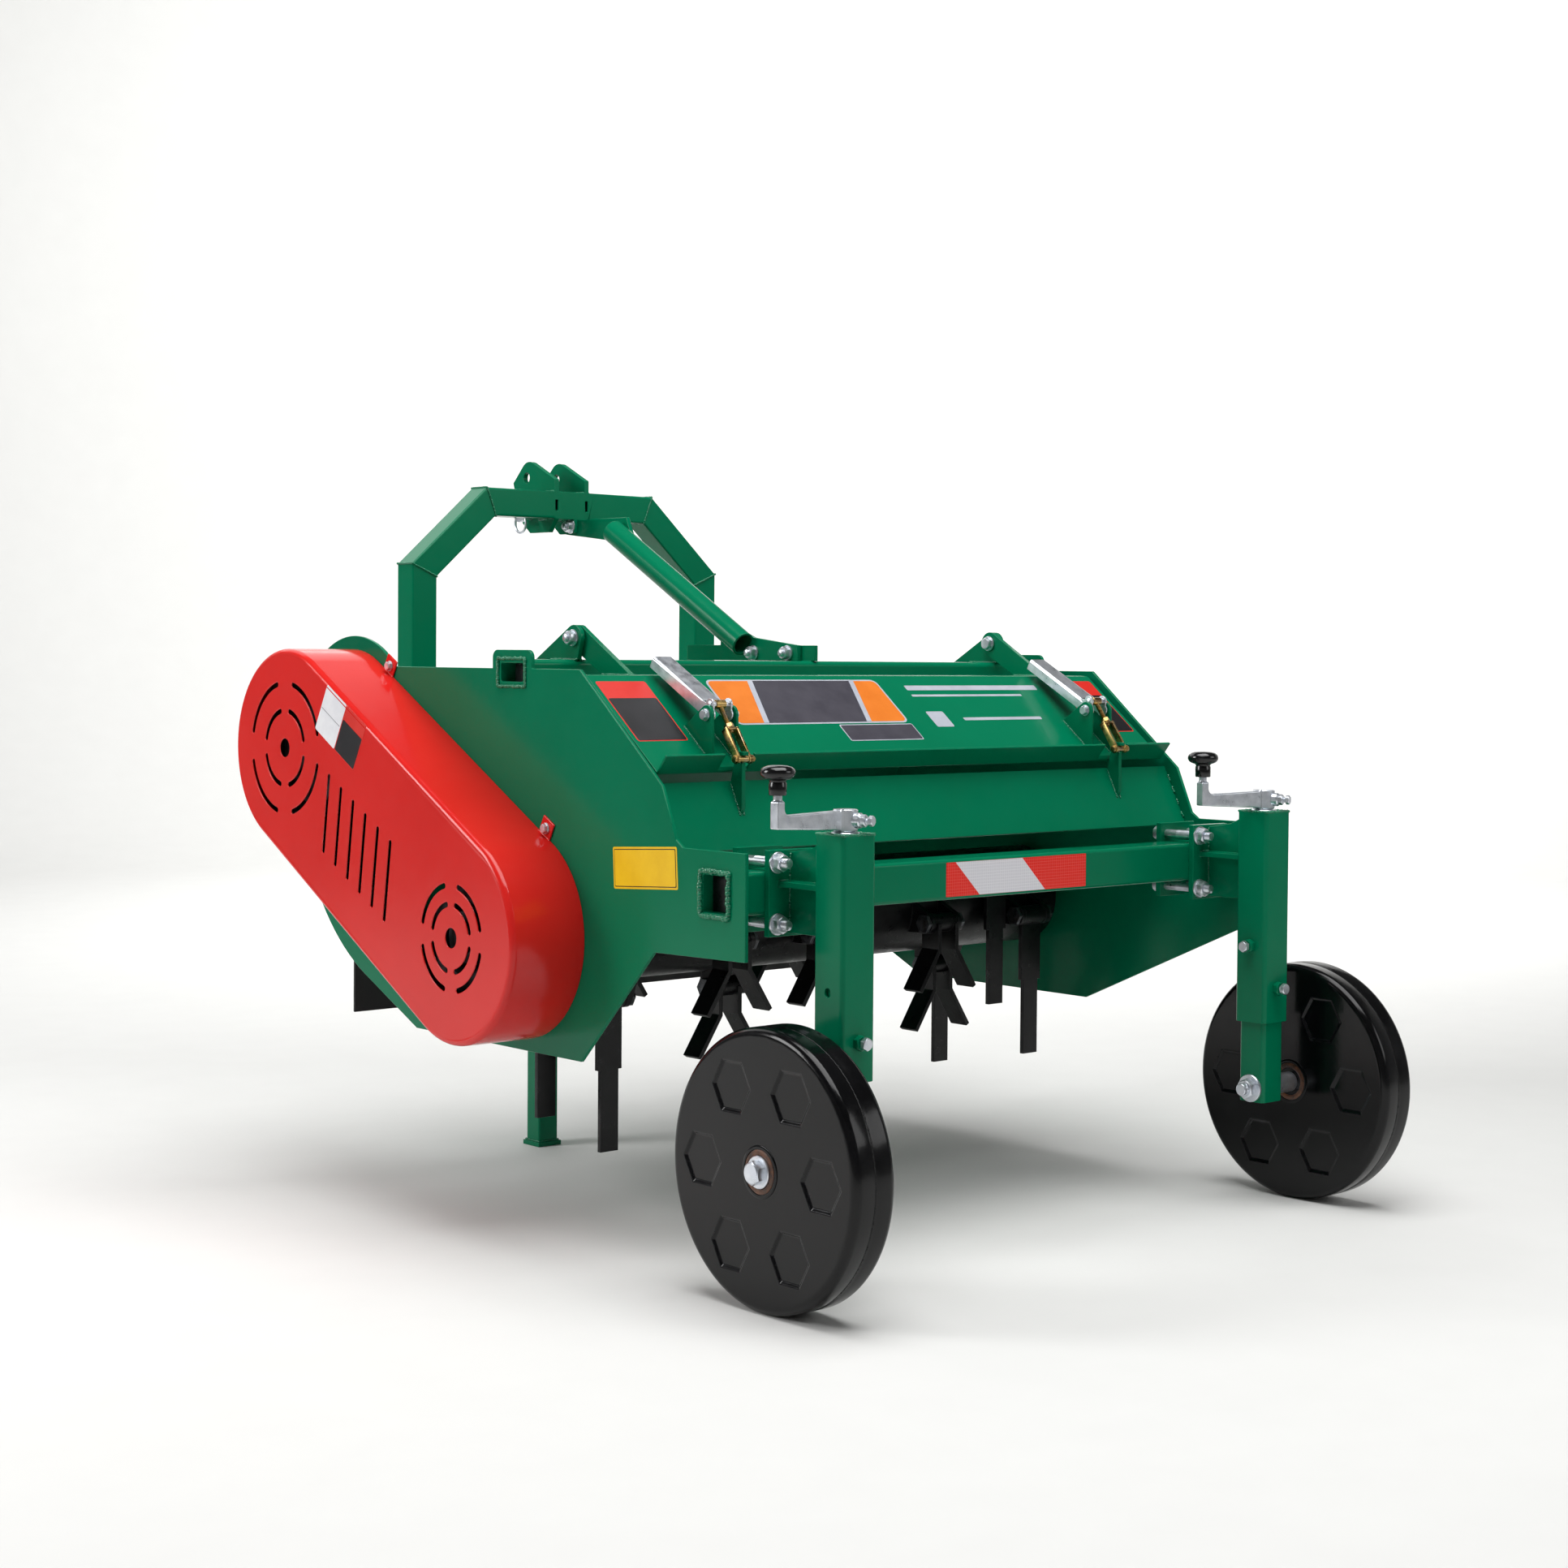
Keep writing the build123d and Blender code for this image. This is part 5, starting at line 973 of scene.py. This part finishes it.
for x in skirtBolt["x"]:
    boltEnd(bm, (x, stripY, stripZ), (0, 1, 0), skirtBolt["size"])
finishPiece("front_bolts", bm, zincPlate, "chassis", crease["steel"])
print("front fitted")

# film labels of plain colour fields, and the reflective tape
filmMm = 0.25   # thicker than real film, so that the layers stay apart


# a patch is layer, film, low and high corner across and up the label, lean of its sides, and corner radius
def labelPiece(name, origin, across, upward, patches, body, slot):
    across = Vector(across).normalized()
    upward = Vector(upward).normalized()
    turn = Matrix((across, upward, across.cross(upward))).transposed().to_4x4()
    spot = Matrix.Translation(at(*origin)) @ turn @ Matrix.Scale(0.001, 4)
    bm = bmesh.new()
    films = []
    for layer, film, low, high, lean, corner in patches:
        if film not in films:
            films.append(film)
        shape = bmesh.new()
        corners = [low, (high[0], low[1]), (high[0] + lean, high[1]), (low[0] + lean, high[1])]
        shape.faces.new([shape.verts.new((*point, 0)) for point in corners])
        if corner:
            bmesh.ops.bevel(shape, geom=shape.verts[:], offset=corner, segments=4, profile=0.5,
                            affect="VERTICES", material=-1)
        lifted = bmesh.ops.extrude_face_region(shape, geom=shape.faces[:])["geom"]
        bmesh.ops.translate(shape, vec=(0, 0, filmMm * layer),
                            verts=[v for v in lifted if isinstance(v, bmesh.types.BMVert)])
        for face in shape.faces:
            face.material_index = films.index(film)
        settle(bm, shape, spot)
    piece = finishPiece(name, bm, films[0], body, crease["steel"])
    for film in films[1:]:
        piece.data.materials.append(film)


coverPlane = ((0, 300, 704.55), (1, 0, 0), coverRise)
coverLabelX = {"left": -529, "right": 437}
for name, x in coverLabelX.items():
    labelPiece(f"{name}_cover_label", *coverPlane, [
        (1, vinyl["red"], (x, 67), (x + 91, 203), 0, 4),
        (2, vinyl["black"], (x + 2, 69), (x + 89, 164), 0, 3)], "rear_cover", "green_paint")
labelPiece("cover_stripes", *coverPlane, [
    (1, vinyl["silver"], (-325, 100), (25, 207), 0, 12),
    (2, vinyl["orange"], (-321.5, 103.5), (21.5, 203.5), 0, 9),
    (3, vinyl["silver"], (-272, 103.5), (-54, 203.5), 30, 0),
    (4, vinyl["grey"], (-262, 103.5), (-64, 203.5), 30, 0),
    (1, vinyl["silver"], (-127, 58), (27, 97), 0, 3),
    (2, vinyl["grey"], (-125, 60), (25, 95), 0, 2),
    (1, vinyl["silver"], (78, 180), (380, 192), 0, 2),
    (1, vinyl["silver"], (78, 164), (330, 169), 0, 1),
    (1, vinyl["silver"], (78, 88), (116, 126), 0, 3),
    (1, vinyl["silver"], (150, 103), (330, 110), 0, 2)], "rear_cover", "green_paint")
guardX = cornersMm("belt_guard")[0][0] + guardFace["drawMm"]
labelPiece("guard_label", (guardX, 999, 750), (0, -485, -264), (0, -264, 485), [
    (1, vinyl["white"], (0, 0), (65, 79), 0, 3),
    (1, vinyl["red"], (66, 0), (131, 79), 0, 3),
    (2, vinyl["black"], (67.5, 1.5), (129.5, 55), 0, 2),
    (2, vinyl["grey"], (2, 39.2), (63, 39.8), 0, 0)], "chassis", "red_paint")
labelPiece("plate_label", (-plateX, 380, 534.5), (0, -1, 0.06), (0, 0.06, 1), [
    (1, vinyl["yellow"], (0, 0), (149, 60), 0, 3),
    (2, vinyl["black"], (3, 3), (146, 57), 0, 2),
    (3, vinyl["yellow"], (4.2, 4.2), (144.8, 55.8), 0, 2)], "chassis", "green_paint")
labelPiece("reflective_tape", (0, beamLow[1], 0), (1, 0, 0), (0, 0, 1), [
    (1, prismRed, (-140, 517.6), (160, 568.4), 0, 1.5),
    (2, prismWhite, (-71, 517.8), (69, 568.2), -50, 0)], "chassis", "green_paint")
print("labels laid")

# pale floor that sweeps up into a wall, in metres; the wall is greyer, except ahead on the right
floorFit = {"radius": 6.5, "sweep": 2.5, "wall": 3.0, "sweepSteps": 12, "turnSteps": 96, "speckScale": 9.0,
            "merge": 0.0001, "pale": "#e2e2e0", "shade": "#dededc", "wallGrey": "#b0b0b2",
            "greyFrom": 0.1, "greyTo": 0.9, "paleFrom": 4.0, "paleTo": 7.0, "rough": 0.8, "shine": 0.1}
bm = bmesh.new()
profile = [bm.verts.new((0, 0, 0)), bm.verts.new((floorFit["radius"], 0, 0))]
for step in range(1, floorFit["sweepSteps"] + 1):
    bend = math.pi / 2 * step / floorFit["sweepSteps"]
    profile.append(bm.verts.new((floorFit["radius"] + floorFit["sweep"] * math.sin(bend), 0,
                                 floorFit["sweep"] * (1 - math.cos(bend)))))
wallRadius = floorFit["radius"] + floorFit["sweep"]
profile.append(bm.verts.new((wallRadius, 0, floorFit["sweep"] + floorFit["wall"])))
rim = [bm.edges.new(pair) for pair in zip(profile, profile[1:])]
bmesh.ops.spin(bm, geom=profile + rim, cent=(0, 0, 0), axis=(0, 0, 1), angle=2 * math.pi,
               steps=floorFit["turnSteps"], use_merge=True)
bmesh.ops.remove_doubles(bm, verts=bm.verts, dist=floorFit["merge"])
bmesh.ops.recalc_face_normals(bm, faces=bm.faces)
for face in bm.faces:
    face.smooth = True
floorMesh = bpy.data.meshes.new("floor")
bm.to_mesh(floorMesh)
bm.free()
floor = bpy.data.objects.new("floor", floorMesh)
scene.collection.objects.link(floor)
floorPaint, tree, shader, place = newMaterial("pale_floor")
speck = addNode(tree, "ShaderNodeTexNoise",
                {"Scale": floorFit["speckScale"], "Detail": 4.0}, {"Vector": place})
floorTone = addNode(tree, "ShaderNodeMix", {"data_type": "RGBA", "A": linear(floorFit["shade"]),
                                            "B": linear(floorFit["pale"])},
                    {"Factor": speck.outputs["Fac"]})
reach = addNode(tree, "ShaderNodeSeparateXYZ", {}, {"Vector": place})
lowDown = addNode(tree, "ShaderNodeMapRange",
                  {"From Min": floorFit["greyFrom"], "From Max": floorFit["greyTo"],
                   "To Min": 1.0, "To Max": 0.0}, {"Value": reach.outputs["Z"]})
away = addNode(tree, "ShaderNodeMath", {"operation": "ADD"},
               {0: reach.outputs["X"], 1: reach.outputs["Y"]})
farOff = addNode(tree, "ShaderNodeMapRange",
                 {"From Min": floorFit["paleFrom"], "From Max": floorFit["paleTo"]},
                 {"Value": away.outputs["Value"]})
pale = addNode(tree, "ShaderNodeMath", {"operation": "MAXIMUM"},
               {0: lowDown.outputs["Result"], 1: farOff.outputs["Result"]})
wallTone = addNode(tree, "ShaderNodeMix", {"data_type": "RGBA", "A": linear(floorFit["wallGrey"])},
                   {"Factor": pale.outputs["Value"], "B": floorTone.outputs["Result"]})
tree.links.new(wallTone.outputs["Result"], shader.inputs["Base Color"])
shader.inputs["Roughness"].default_value = floorFit["rough"]
shader.inputs["Specular IOR Level"].default_value = floorFit["shine"]
floorMesh.materials.append(floorPaint)

# soft light: place and aim in metres, width and height of the box, watts
ambient = {"tone": "#fbfbfb", "strength": 0.08}
softboxes = {
    "overhead": ((-0.3, -0.9, 4.2), (0, 0, 0.5), 3.4, 3.4, 205),
    "leftKey": ((-4.2, 2.4, 2.7), (-0.3, 0.3, 0.6), 1.8, 2.2, 125),
    "rearFill": ((2.4, -4.4, 2.6), (0, 0, 0.5), 2.4, 2.0, 34),
    "frontTop": ((0.3, 3.6, 3.6), (0, 0, 0.6), 4.0, 2.4, 42),
    "backWash": ((2.6, 2.6, 4.6), (7.0, 7.0, 1.2), 3.0, 3.0, 420)}
world = bpy.data.worlds.new("studio") if scene.world is None else scene.world
scene.world = world
world.use_nodes = True
world.node_tree.nodes["Background"].inputs["Color"].default_value = linear(ambient["tone"])
world.node_tree.nodes["Background"].inputs["Strength"].default_value = ambient["strength"]
for name, (place, aim, width, height, watts) in softboxes.items():
    light = bpy.data.lights.new(name, "AREA")
    light.shape = "RECTANGLE"
    light.size = width
    light.size_y = height
    light.energy = watts
    lamp = bpy.data.objects.new(name, light)
    scene.collection.objects.link(lamp)
    lamp.location = place
    lamp.rotation_euler = (Vector(aim) - Vector(place)).to_track_quat("-Z", "Y").to_euler()

# camera at the photograph's place: millimetres, degrees, and pixels of a square image
view = {"place": (-2722.0, -2565.6, 870.0), "yaw": 43.2, "pitch": 1.6, "roll": 0.5,
        "focal": 3129.4, "image": 1932, "middle": (1130.7, 897.2), "sensorMm": 36.0}
yaw, pitch, roll = (math.radians(view[angle]) for angle in ("yaw", "pitch", "roll"))
ahead = Vector((math.sin(yaw) * math.cos(pitch), math.cos(yaw) * math.cos(pitch), -math.sin(pitch)))
right = ahead.cross(Vector((0, 0, 1))).normalized()
up = right.cross(ahead)
across = math.cos(roll) * right + math.sin(roll) * up
over = math.cos(roll) * up - math.sin(roll) * right
cameraData = bpy.data.cameras.new("camera")
cameraData.sensor_width = view["sensorMm"]
cameraData.lens = view["focal"] / view["image"] * cameraData.sensor_width
cameraData.shift_x = 0.5 - view["middle"][0] / view["image"]
cameraData.shift_y = view["middle"][1] / view["image"] - 0.5
camera = bpy.data.objects.new("camera", cameraData)
scene.collection.objects.link(camera)
turn = Matrix((across, over, -ahead)).transposed().to_4x4()
camera.matrix_world = Matrix.Translation(at(*view["place"])) @ turn
scene.camera = camera
scene.view_settings.view_transform = "Standard"
print("studio ready")

bpy.context.view_layer.update()
